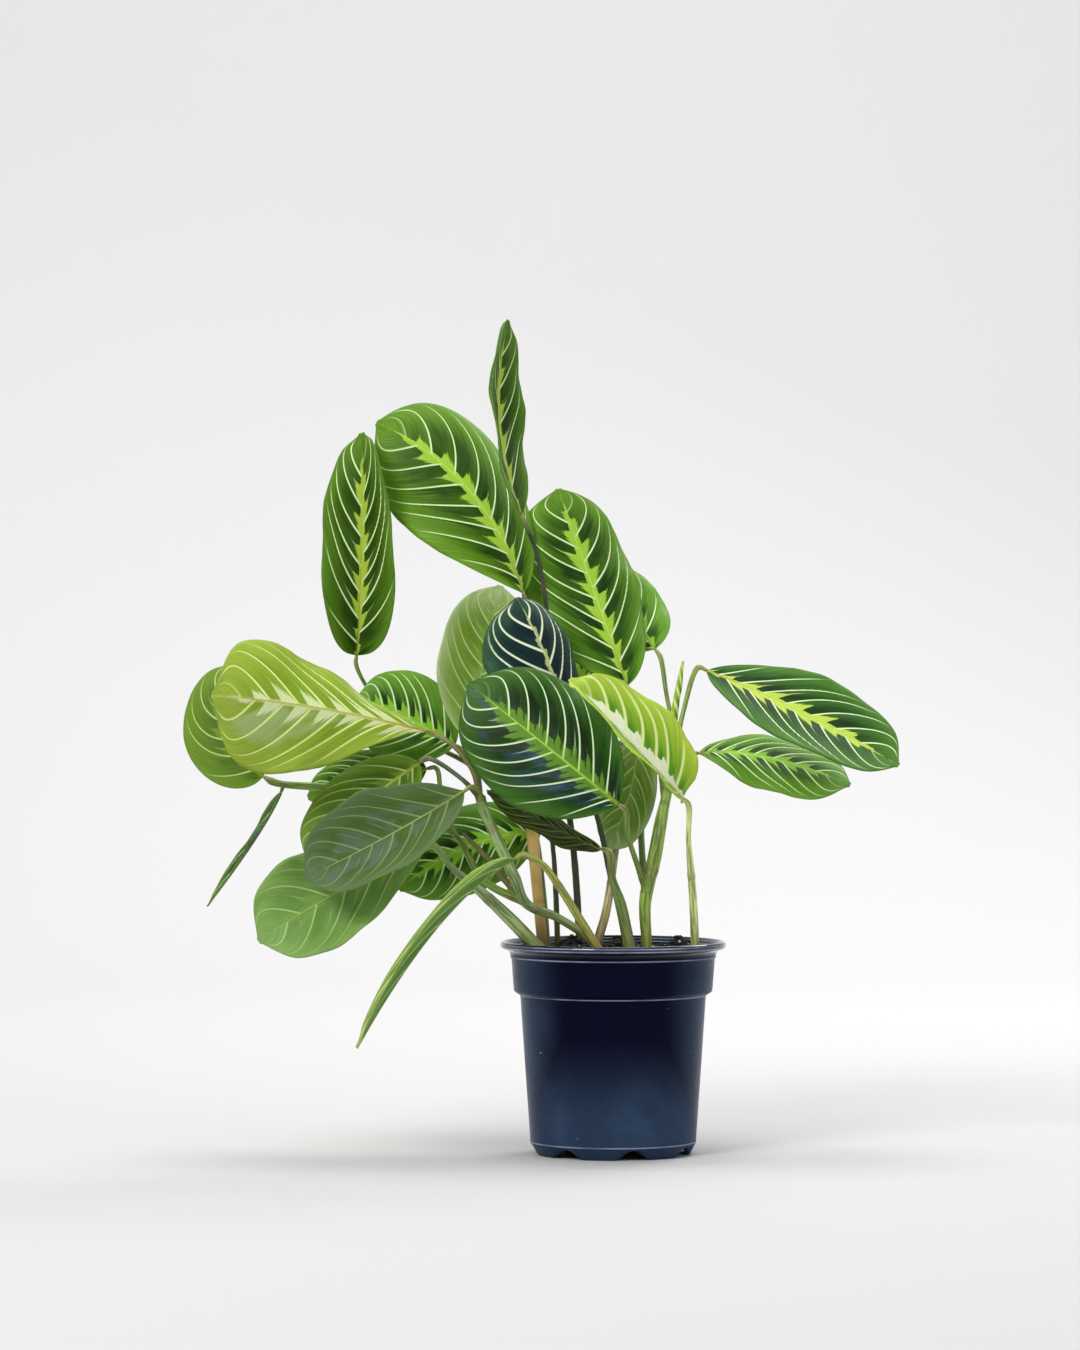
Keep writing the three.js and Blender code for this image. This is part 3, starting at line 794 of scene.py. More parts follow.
def make_piece(
    name: str, points_mm: Array, faces: list, materials: list, nodes: list | tuple = (),
    marks: dict | None = None, picks: Array | None = None,
) -> Object:
    """Makes a smooth mesh piece that rides on the plant's one body.

    Args:
        name: The piece's name.
        points_mm: Its vertices in millimetres.
        faces: Its faces as lists of vertex numbers.
        materials: Its materials.
        nodes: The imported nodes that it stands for.
        marks: Values by name, one per vertex, that its material reads.
        picks: Material number of each face, if there is more than one material.

    Returns:
        The object.
    """
    mesh = bpy.data.meshes.new(name)
    mesh.from_pydata((np.asarray(points_mm) * MM).tolist(), [], [list(map(int, face)) for face in faces])
    for material in materials:
        mesh.materials.append(material)
    for label, values in (marks or {}).items():
        add_mark(mesh, label, values)
    mesh.shade_smooth()
    if picks is not None:
        mesh.polygons.foreach_set("material_index", np.asarray(picks, dtype=np.int32))
    mesh.update()
    return place_piece(add_object(name, mesh), nodes)


def add_object(name: str, data: bpy.types.ID) -> Object:
    """Makes an object and links it to the scene.

    Args:
        name: Its name.
        data: Its mesh, light or camera.

    Returns:
        The object.
    """
    made = bpy.data.objects.new(name, data)
    bpy.context.scene.collection.objects.link(made)
    return made


def add_mark(mesh: Mesh, label: str, values: Array) -> None:
    """Stores one value or vector per vertex on a mesh.

    Args:
        mesh: The mesh.
        label: The attribute's name.
        values: An array with a number or a row of three per vertex.
    """
    values = np.asarray(values, dtype=np.float32)
    if values.ndim == 2:
        mesh.attributes.new(label, "FLOAT_VECTOR", "POINT").data.foreach_set("vector", values.ravel())
    else:
        mesh.attributes.new(label, "FLOAT", "POINT").data.foreach_set("value", values)


def place_piece(piece: Object, nodes: list | tuple = ()) -> Object:
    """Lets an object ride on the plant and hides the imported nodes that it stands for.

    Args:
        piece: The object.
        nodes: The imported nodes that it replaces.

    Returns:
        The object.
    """
    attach(piece, "root")
    if nodes:
        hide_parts(*nodes)
    return piece


def grid_faces(rows: int, columns: int, start: int = 0, flip: bool = False, wrap: bool = False) -> list:
    """Lists the four-sided faces of a grid of points stored row by row.

    Args:
        rows: Number of rows of points.
        columns: Number of points in a row.
        start: Number of the grid's first point.
        flip: Whether the faces turn the other way.
        wrap: Whether the last column joins the first.

    Returns:
        The faces.
    """
    faces = []
    for row in range(rows - 1):
        for column in range(columns if wrap else columns - 1):
            after = (column + 1) % columns
            corners = [row * columns + column, (row + 1) * columns + column]
            corners += [(row + 1) * columns + after, row * columns + after]
            faces.append([start + c for c in (reversed(corners) if flip else corners)])
    return faces


def tube_faces(rows: int, sides: int) -> list:
    """Lists the faces of a tube of points stored ring by ring, closed at both ends.

    Args:
        rows: Number of rings.
        sides: Number of points in a ring.

    Returns:
        The faces.
    """
    last = (rows - 1) * sides
    caps = [list(range(sides))[::-1], list(range(last, last + sides))]
    return grid_faces(rows, sides, wrap=True, flip=True) + caps


# Leaves


@dataclass(frozen=True)
class BladeForm:
    """Form of one blade, in millimetres and degrees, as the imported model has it.

    Args:
        base: Where the rib starts.
        mid: Where the rib is half way.
        tip: Where the rib ends.
        up: The way the upper face looks.
        width: Greatest width across the blade.
        broadest: Where along the rib the blade is broadest, 0 to 1.
        fold: How far both halves lift from flat at the rib.
        curl: How much further they bend towards the margin.
        waves: Number of margin waves.
        amplitude: Height of a margin wave.
        twist: Turn of the blade about its rib from base to tip.
    """

    base: tuple
    mid: tuple
    tip: tuple
    up: tuple
    width: float
    broadest: float
    fold: float
    curl: float
    waves: float
    amplitude: float
    twist: float = 0.0

    def rib(self) -> tuple:
        """Gives the rib's base, the control point of its bend and its tip."""
        base, mid, tip = (np.array(p, float) for p in (self.base, self.mid, self.tip))
        return base, 2 * mid - (base + tip) / 2, tip


@dataclass
class Leaf:
    """One leaf blade with its veins as mesh values and its own finish.

    Args:
        node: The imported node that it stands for.
        form: Its form.
        look: How it differs from a usual leaf.
        upper: Material of the upper face.
        lower: Material of the lower face.
        tint: A number that varies the markings from leaf to leaf.
        rows: Number of points along the rib.
        half_columns: Number of faces from the rib to the margin.
        thickness: Thickness of the blade in millimetres.
        tip_spread: How fast the blade widens from its tip.
        fullness: How full the oval is towards base and tip, the less the fuller.
        least: Least half width at the base and at the tip.
        fold_width: Half width, as a share of the greatest, at which the blade folds in full.
        vein_start: How far before the rib's start the numbering of veins starts, as a share of the rib.
        vein_crowding: How much closer the veins stand at the base, less than 1 being closer.
        keel: Height and half width of the keel under the rib.
    """

    node: str
    form: BladeForm
    look: "Look"
    upper: Material
    lower: Material
    tint: float
    rows: int = 88
    half_columns: int = 20
    thickness: float = 0.7
    tip_spread: float = 8.0
    fullness: tuple = (0.62, 0.45)
    least: tuple = (1.2, 2.0)
    fold_width: float = 0.45
    vein_start: float = 0.03
    vein_crowding: float = 0.88
    keel: tuple = (0.7, 1.4)

    def half_width(self, along: Array) -> Array:
        """Gives half the blade's width.

        Args:
            along: Places along the rib, 0 to 1.

        Returns:
            Half widths in millimetres.
        """
        full = 0.5 * self.form.width
        place = 2 * along ** (math.log(0.5) / math.log(self.form.broadest)) - 1
        power = np.where(place < 0, *self.fullness)
        oval = full * np.maximum(1e-6, 1 - place * place) ** power
        corner = full * np.maximum(1e-6, self.tip_spread * (1 - along))
        least = np.where(along > 0.5, *self.least[::-1])
        return ((oval**-6 + corner**-6) ** -0.5 + least**3) ** (1 / 3)

    def half_surface(self, along: Array, across: Array, side: int) -> Array:
        """Gives one half of the blade's middle surface.

        Args:
            along: Column of places along the rib, 0 to 1.
            across: Row of places from the rib to the margin, 0 to 1.
            side: 1 or -1.

        Returns:
            Points in millimetres, by row and column.
        """
        form = self.form
        base, control, tip = form.rib()
        s = along[:, None]
        centre = (1 - s) ** 2 * base + 2 * s * (1 - s) * control + s * s * tip
        tangent = unit(2 * (1 - s) * (control - base) + 2 * s * (tip - control))
        hint = np.array(form.up, float)
        up = unit(hint - tangent * (tangent @ hint)[:, None])
        turn = np.radians(form.twist) * (s - 0.5)
        up = up * np.cos(turn) + np.cross(tangent, up) * np.sin(turn)
        out = np.cross(tangent, up)
        full = 0.5 * form.width
        half = self.half_width(along)[:, None]
        fold = np.radians(form.fold) * np.minimum(1, half / (self.fold_width * full))
        curl = np.radians(form.curl)
        reach = half * across[None, :]
        angle = fold + curl * reach / full
        sideways = side * full / curl * (np.sin(angle) - np.sin(fold))
        rise = full / curl * (np.cos(fold) - np.cos(angle))
        phase = 2 * np.pi * (form.waves * s + (0 if side > 0 else 0.4))
        ripple = form.amplitude * np.sin(phase) * across**2
        ripple = ripple + 0.003 * form.width * np.sin(3.7 * phase + 9 * self.tint) * across**4
        rise = rise + ripple * np.sin(np.pi * s)
        return centre[:, None] + out[:, None] * sideways[..., None] + up[:, None] * rise[..., None]

    def vein_root(self, along: Array, across: Array) -> Array:
        """Finds where on the rib the vein through each place starts.

        A vein leaves the rib at about 50 degrees and bends forward until it runs beside the margin. Near the
        base the veins are shorter and stand more nearly square to the rib. Near the tip they are straighter.

        Args:
            along: Column of places along the rib.
            across: Row of places from rib to margin.

        Returns:
            Places along the rib, 0 to 1, by row and column.
        """
        roots = np.linspace(-0.4, 1, 600)
        reach = self.look.sweep * np.sqrt(1 - roots) * (0.3 + 0.7 * smooth(roots, 0, 0.26))
        straight = 0.5 + 0.45 * smooth(roots, 0.4, 0.8)
        places = np.zeros((len(along), len(across)))
        for column, out in enumerate(across):
            ends = roots + reach * (straight * out + (1 - straight) * out**2.6)
            last = int(np.argmax(ends)) + 1
            places[:, column] = np.interp(along, ends[:last], roots[:last])
        return places

    def vein_place(self, root: Array) -> Array:
        """Numbers the veins from the base, closer together there than near the tip.

        Args:
            root: Places along the rib.

        Returns:
            Vein numbers; a vein lies wherever one is whole.
        """
        start, power = self.vein_start, self.vein_crowding
        lifted = np.maximum(root + start, 0.002) ** power - start**power
        return self.look.veins * lifted / ((1 + start) ** power - start**power)

    def build_half(self, along: Array, across: Array, side: int) -> dict:
        """Builds one half of the blade with what its material reads.

        Args:
            along: Column of places along the rib.
            across: Row of places from rib to margin.
            side: 1 or -1.

        Returns:
            The points, their normals and other values by name, each by row and column.
        """
        points = self.half_surface(along, across, side)
        by_row = np.gradient(points, along, axis=0)
        by_column = np.gradient(points, across, axis=1)
        normal = unit(-np.cross(by_row, by_column) * side)
        root = self.vein_root(along, across)
        number = self.vein_place(root)
        rate_row = np.gradient(number, along, axis=0)
        rate_column = np.gradient(number, across, axis=1)
        e, g = (by_row**2).sum(2), (by_column**2).sum(2)
        f = (by_row * by_column).sum(2)
        slope = (g * rate_row**2 - 2 * f * rate_row * rate_column + e * rate_column**2) / (e * g - f * f)
        reach = self.half_width(along)[:, None] * across[None, :]
        share = np.mod(number + (HALF_SHIFT if side < 0 else 0), 1)
        puff = np.abs(np.sin(np.pi * share)) ** 0.8 * np.sin(np.pi * along)[:, None]
        puff = self.look.puff_mm * puff * smooth(across, 0.04, 0.3) * (1 - smooth(across, 0.75, 1))
        return {
            "points": points + normal * puff[..., None],
            "normal": normal,
            "vein_place": number,
            "root": root,
            "pitch": 1 / np.sqrt(np.maximum(slope, 1e-6)),
            "reach": reach,
            "across": np.broadcast_to(side * across, reach.shape),
            "along": np.broadcast_to(along[:, None], reach.shape),
        }

    def build(self) -> Object:
        """Builds the blade as one closed thin solid.

        Returns:
            The object.
        """
        even = np.linspace(0, 1, self.rows)
        along = 0.45 * even + 0.55 * (1 - np.cos(np.pi * even)) / 2
        across = np.linspace(0, 1, self.half_columns + 1) ** 1.3
        left, right = (self.build_half(along, across, side) for side in (-1, 1))
        values = {key: np.concatenate([left[key][:, :0:-1], right[key]], axis=1) for key in left}
        points, normal = values.pop("points"), values.pop("normal")
        thin = self.thickness / 2
        keel = self.keel[0] * bell(values["reach"], self.keel[1]) * (1 - values["along"]) ** 0.7
        upper = (points + normal * thin).reshape(-1, 3)
        lower = (points - normal * (thin + keel)[..., None]).reshape(-1, 3)
        rows, columns = values["reach"].shape
        count = rows * columns
        faces = grid_faces(rows, columns, flip=True) + grid_faces(rows, columns, count)
        number = np.arange(count).reshape(rows, columns)
        rim = np.concatenate([number[:-1, 0], number[-1, :-1], number[:0:-1, -1], number[0, :0:-1]])
        after = np.roll(rim, -1)
        band = np.stack([rim, after, after + count, rim + count], axis=1)
        marks = {key: np.tile(value.ravel(), 2) for key, value in values.items()}
        marks |= {"tint": np.full(2 * count, self.tint), "lobes": np.full(2 * count, self.look.lobes)}
        single = (rows - 1) * (columns - 1)
        picks = np.repeat([0, 1, 0], [single, single, len(band)])
        name = f"blade_{self.node.removeprefix('leaf_')}"
        points, faces = np.concatenate([upper, lower]), faces + band.tolist()
        materials, slot = [self.upper, self.lower], self.look.slot
        return make_piece(name, points, faces, materials, [self.node], marks, picks)


LEAVES = {
    "crown": BladeForm(
        (-57, -8, 396), (-71, 0, 456), (-65, 10, 517), (0.94, -0.33, 0.1), 56, 0.48, 8, 10, 2.2, 2
    ),
    "upper_left": BladeForm(
        (-56, 14, 348), (-90, 24, 412), (-148, 42, 455), (0.34, -0.88, 0.33), 92, 0.56, -8, -26, 1.6, 1.4, -34
    ),
    "far_left": BladeForm(
        (-160, 30, 309), (-156, 20, 377), (-157, 33, 448), (-0.2, -0.98, 0), 54, 0.42, 20, 22, 2.7, 2.6, -40
    ),
    "upper_mid": BladeForm(
        (9, 22, 290), (-14, 41, 356), (-34, 59, 414), (0.4, -0.9, 0.14), 82, 0.53, -6, -30, 2.6, 2.2
    ),
    "upper_right": BladeForm(
        (27, 52, 313), (7, 66, 340), (-17, 84, 370), (0.25, -0.9, 0.3), 60, 0.5, -5, -20, 2, 1.5
    ),
    "mid_left": BladeForm(
        (-98, 6, 253), (-129, 12, 270), (-160, 26, 282), (-0.15, -0.95, 0.2), 58, 0.5, 5, -14, 2.2, 2
    ),
    "young_left": BladeForm(
        (-117, -22, 262), (-180, -50, 276), (-244, -74, 284), (-0.1, -0.92, 0.38), 89, 0.7, -12, -20, 3.2, 2.8,
        -45,
    ),
    "low_left": BladeForm(
        (-216, -15, 234), (-242, -9, 264), (-233, 6, 302), (-0.2, -0.95, 0.2), 52, 0.45, 0, -18, 2, 1.6
    ),
    "hanging_left": BladeForm(
        (-205, -17, 224), (-221, -18, 195), (-250, -22, 154), (-0.82, -0.1, 0.56), 42, 0.45, 4, 6, 1.6, 1
    ),
    "lower_left": BladeForm(
        (-120, -14, 242), (-155, -24, 216), (-189, -25, 184), (-0.15, -0.97, 0.15), 52, 0.5, -4, -12, 2.2, 1.8
    ),
    "shaded_left": BladeForm(
        (-116, 10, 238), (-152, 14, 231), (-190, 16, 220), (-0.1, -0.85, 0.5), 44, 0.5, 4, -10, 2, 1.5
    ),
    "turned_left": BladeForm(
        (-92, -38, 225), (-138, -52, 198), (-188, -60, 173), (0.2, 0.9, -0.37), 64, 0.58, -14, -24, 2.6, 2.4
    ),
    "drooping_left": BladeForm(
        (-116, -26, 189), (-168, -38, 164), (-217, -48, 134), (0.12, 0.96, -0.2), 66, 0.64, -8, -18, 3.4, 4
    ),
    "inner_left": BladeForm(
        (-45, 27, 198), (-89, 19, 190), (-133, 8, 163), (-0.15, -0.93, 0.3), 58, 0.5, -4, -14, 2, 1.6
    ),
    "hanging_front": BladeForm(
        (-61, -46, 184), (-107, -60, 144), (-156, -64, 70), (-0.72, -0.3, 0.6), 19, 0.42, 44, 30, 1.5, 0.6
    ),
    "front": BladeForm(
        (2, -62.4, 218), (-40, -52.4, 252), (-89, -30.4, 291), (0.05, -0.97, 0.12), 85, 0.55, -4, -20, 2.6, 2.4
    ),
    "inner_dark": BladeForm(
        (-26, -17, 262), (-41, -20.6, 306), (-60, -14, 344), (0.6, -0.8, 0.1), 76, 0.55, -10, -34, 2, 2
    ),
    "turned_mid": BladeForm(
        (-89, 0, 257), (-80, 8, 305), (-70, 6, 352), (0.25, 0.95, 0.1), 58, 0.52, -8, -20, 2.2, 2
    ),
    "young_front": BladeForm(
        (41, -66, 222), (13, -74, 252), (-27, -66, 294), (0.46, -0.77, 0.44), 58, 0.45, 42, 8, 2.4, 2.2
    ),
    "inner_low": BladeForm(
        (16, 16, 258), (10, 17, 220), (-3, 12, 188), (0.2, 0.95, 0.2), 35, 0.5, -5, -15, 2, 1.2
    ),
    "under_front": BladeForm(
        (-8, -34, 190), (-42, -16, 206), (-78, 4, 224), (0.2, 0.6, 0.75), 29, 0.5, -4, -14, 2.2, 1.5
    ),
    "right": BladeForm(
        (58, -12, 299), (115, -26, 273), (174, -40, 241), (0.3, -0.62, 0.75), 76, 0.56, 2, 10, 1.8, 1.4
    ),
    "right_low": BladeForm(
        (54, 8, 248), (96, 8, 245), (147, 2, 228), (0.15, -0.62, 0.76), 54, 0.6, -4, -12, 2, 1.6
    ),
    "back_upper": BladeForm(
        (-14, 60, 255), (-23, 85, 306), (-32, 96, 350), (0, -0.93, 0.35), 60, 0.5, 6, 10, 2.2, 2
    ),
    "back_right": BladeForm(
        (11, 50, 242), (19, 95, 252), (30, 140, 242), (0.1, 0, 1), 60, 0.52, 4, -16, 2.4, 2
    ),
    "back_left": BladeForm(
        (-67, 55, 252), (-76, 100, 270), (-84, 146, 264), (-0.1, 0, 1), 62, 0.52, 4, -16, 2.2, 2
    ),
    "back_low": BladeForm(
        (-24, 55, 222), (-27, 100, 232), (-30, 143, 220), (0, 0.1, 1), 56, 0.52, 2, -18, 2.6, 2.2
    ),
}


# Stems


class Tone(Enum):
    """Skin colours of stems and stalks; SHADED is a darker painted shade for stalks that stand among and under
    the leaves.
    """

    GREEN = srgb(112, 146, 52)
    BRIGHT = srgb(140, 172, 66)
    YELLOW = srgb(158, 164, 66)
    OLIVE = srgb(98, 124, 52)
    PALE = srgb(150, 178, 112)
    LIGHT = srgb(224, 236, 150)
    KHAKI = srgb(124, 126, 62)
    STRAW = srgb(166, 150, 100)
    DARK = srgb(48, 56, 32)
    # Painted shade for stalks among the leaves.
    SHADED = srgb(58, 80, 42)


@dataclass(frozen=True)
class Branch:
    """One stretch of stem or leaf stalk.

    Args:
        path: Its points in millimetres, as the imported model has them.
        radii: Its radius at each point.
        to: The leaf that it carries, if any.
        tone: Colour of its skin.
    """

    path: tuple
    radii: tuple
    to: str = ""
    tone: Tone = Tone.GREEN

    def full(self) -> tuple:
        """Runs the branch on to the leaf that it carries, in line with the leaf's rib.

        Returns:
            The points and radii.
        """
        points = [np.array(p, float) for p in self.path]
        radii = list(self.radii)
        if self.to:
            base, control, _ = LEAVES[self.to].rib()
            direction = unit(control - base)
            points += [base - 6 * direction, base - 0.1 * direction]
            radii += [radii[-1] + 0.25, 1.1]
        return np.array(points), np.array(radii)


def smooth_path(points: Array, radii: Array, spacing: float) -> tuple:
    """Lays even stations along a curve through the points.

    Args:
        points: The points.
        radii: The radius at each.
        spacing: Distance between stations.

    Returns:
        The stations, their directions and their radii.
    """
    chord = np.linalg.norm(np.diff(points, axis=0), axis=1) ** 0.5
    knots = np.concatenate([[0], np.cumsum(chord)])
    dense = np.linspace(0, knots[-1], 60 * len(points))
    tangents = np.gradient(points, knots, axis=0)
    index = np.clip(np.searchsorted(knots, dense, "right") - 1, 0, len(points) - 2)
    gap = knots[index + 1] - knots[index]
    t = ((dense - knots[index]) / gap)[:, None]
    start, end = points[index], points[index + 1]
    first, second = tangents[index] * gap[:, None], tangents[index + 1] * gap[:, None]
    curve = (2 * t**3 - 3 * t**2 + 1) * start + (t**3 - 2 * t**2 + t) * first
    curve += (-2 * t**3 + 3 * t**2) * end + (t**3 - t**2) * second
    length = np.concatenate([[0], np.cumsum(np.linalg.norm(np.diff(curve, axis=0), axis=1))])
    even = np.linspace(0, length[-1], max(4, int(length[-1] / spacing)))
    stations = np.stack([np.interp(even, length, curve[:, axis]) for axis in range(3)], axis=1)
    directions = unit(np.gradient(stations, axis=0))
    sizes = np.interp(np.interp(even, length, dense), knots, radii)
    return stations, directions, sizes


def cross_frames(directions: Array) -> tuple:
    """Carries a pair of cross directions along a path without spin.

    Args:
        directions: The path's direction at each station.

    Returns:
        Two arrays of unit vectors across the path.
    """
    across = [unit(np.cross(directions[0], (0.0, 1.0, 0.3)))]
    for direction in directions[1:]:
        across.append(unit(across[-1] - direction * np.dot(across[-1], direction)))
    across = np.array(across)
    return across, np.cross(directions, across)


def sweep(stations: Array, directions: Array, radii: Array, sides: int) -> tuple:
    """Builds a closed round sweep.

    Args:
        stations: The path's stations.
        directions: The path's direction at each.
        radii: The radius at each station, or one per station and side.
        sides: Number of sides.

    Returns:
        The vertices and faces.
    """
    first, second = cross_frames(directions)
    angles = 2 * np.pi * np.arange(sides) / sides
    ring = first[:, None] * np.cos(angles)[None, :, None] + second[:, None] * np.sin(angles)[None, :, None]
    sizes = np.broadcast_to(np.asarray(radii).reshape(len(stations), -1), (len(stations), sides))
    points = stations[:, None] + ring * sizes[..., None]
    return points.reshape(-1, 3), tube_faces(len(stations), sides)


@dataclass
class Stem:
    """One grown stem with its leaf stalks, smoothly grown together.

    Args:
        node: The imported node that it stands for.
        branches: Its branches, the one from the soil first.
        material: Its material.
        joint_gap: Distance between its swollen joints in millimetres.
        joint_length: Half the length of a joint's swelling.
        joint_swell: How much a joint swells, as a share of the radius.
        thin_radius: Radius up to which a stalk has no swollen joints.
        spacing: Distance between the stations of a branch.
        sides: Number of points round a branch.
        voxel_mm: Fineness of the skin.
        soil_height: Height of the soil round it.
    """

    node: str
    branches: tuple
    material: Material
    joint_gap: float = 58.0
    joint_length: float = 1.9
    joint_swell: float = 0.08
    thin_radius: float = 1.85
    spacing: float = 1.6
    sides: int = 12
    voxel_mm: float = 0.62
    soil_height: float = 127.0

    def build(self) -> Object:
        """Builds the stem: closed sweeps grown into one skin, then smoothed.

        Returns:
            The object.
        """
        vertices, faces, guide = [], [], []
        for branch in self.branches:
            points, radii = branch.full()
            stations, directions, sizes = smooth_path(points, radii, self.spacing)
            joints = self.joints(self.spacing * np.arange(len(stations)))
            swelling = 1.06 + self.joint_swell * joints * (sizes > self.thin_radius)
            rings, ring_faces = sweep(stations, directions, sizes * swelling, self.sides)
            faces += [[len(vertices) + v for v in face] for face in ring_faces]
            vertices += rings.tolist()
            guide.append((stations, directions, sizes, branch))
        mesh = bpy.data.meshes.new(f"{self.node}_raw")
        mesh.from_pydata((np.array(vertices) * MM).tolist(), [], faces)
        skin = self.grow_together(mesh)
        skin.materials.clear()
        skin.materials.append(self.material)
        self.mark(skin, guide)
        skin.shade_smooth()
        piece = add_object(f"stalks_{self.node.removesuffix('_stem')}", skin)
        return place_piece(piece, [self.node])

    def joints(self, length: Array) -> Array:
        """Tells, as 0 to 1, how near each distance along a branch is to a swollen joint."""
        away = np.mod(length + 0.35 * self.joint_gap, self.joint_gap) - 0.5 * self.joint_gap
        return bell(away, self.joint_length)

    def grow_together(self, mesh: Mesh) -> Mesh:
        """Turns overlapping closed sweeps into one smooth skin.

        Args:
            mesh: The mesh with the sweeps.

        Returns:
            The new mesh.
        """
        helper = add_object("growing", mesh)
        remesh = helper.modifiers.new("skin", "REMESH")
        remesh.mode = "VOXEL"
        remesh.voxel_size = self.voxel_mm * MM
        relax = helper.modifiers.new("relax", "SMOOTH")
        relax.factor = 0.5
        relax.iterations = 5
        bpy.context.view_layer.update()
        evaluated = helper.evaluated_get(bpy.context.evaluated_depsgraph_get())
        skin = bpy.data.meshes.new_from_object(evaluated)
        bpy.data.objects.remove(helper)
        bpy.data.meshes.remove(mesh)
        return skin

    def mark(self, skin: Mesh, guide: list) -> None:
        """Stores on the skin its colour, its place in the section, and how near joints, soil and blade are.

        Args:
            skin: The mesh.
            guide: Stations, directions, radii and the branch itself, for each branch.
        """
        rows = []
        for stations, directions, sizes, branch in guide:
            first, second = cross_frames(directions)
            length = self.spacing * np.arange(len(stations))
            left = length[-1] - length if branch.to else np.full(len(stations), 99.0)
            joints = self.joints(length)
            for k in range(len(stations)):
                extras = (length[k], left[k], joints[k], *branch.tone.value[:3])
                rows.append((stations[k], first[k], second[k], sizes[k], extras))
        tree = kdtree.KDTree(len(rows))
        for k, row in enumerate(rows):
            tree.insert(Vector(row[0]), k)
        tree.balance()
        count = len(skin.vertices)
        places = np.zeros(3 * count, np.float32)
        skin.vertices.foreach_get("co", places)
        places = places.reshape(-1, 3) / MM
        section, extras = np.zeros((count, 3)), np.zeros((count, 6))
        for k, place in enumerate(places):
            near = tree.find_n(Vector(place), 3)
            centre, first, second, size, extra = rows[near[0][1]]
            offset = (place - centre) / size
            section[k] = (offset @ first, offset @ second, extra[0] * 0.022)
            extras[k] = np.mean([rows[index][4] for _, index, _ in near], axis=0)
        add_mark(skin, "section", section)
        add_mark(skin, "neck", 1 - smooth(extras[:, 1], 3, 16))
        add_mark(skin, "joint", extras[:, 2])
        add_mark(skin, "skin", extras[:, 3:])
        add_mark(skin, "low", 1 - smooth(places[:, 2], self.soil_height + 2, self.soil_height + 30))


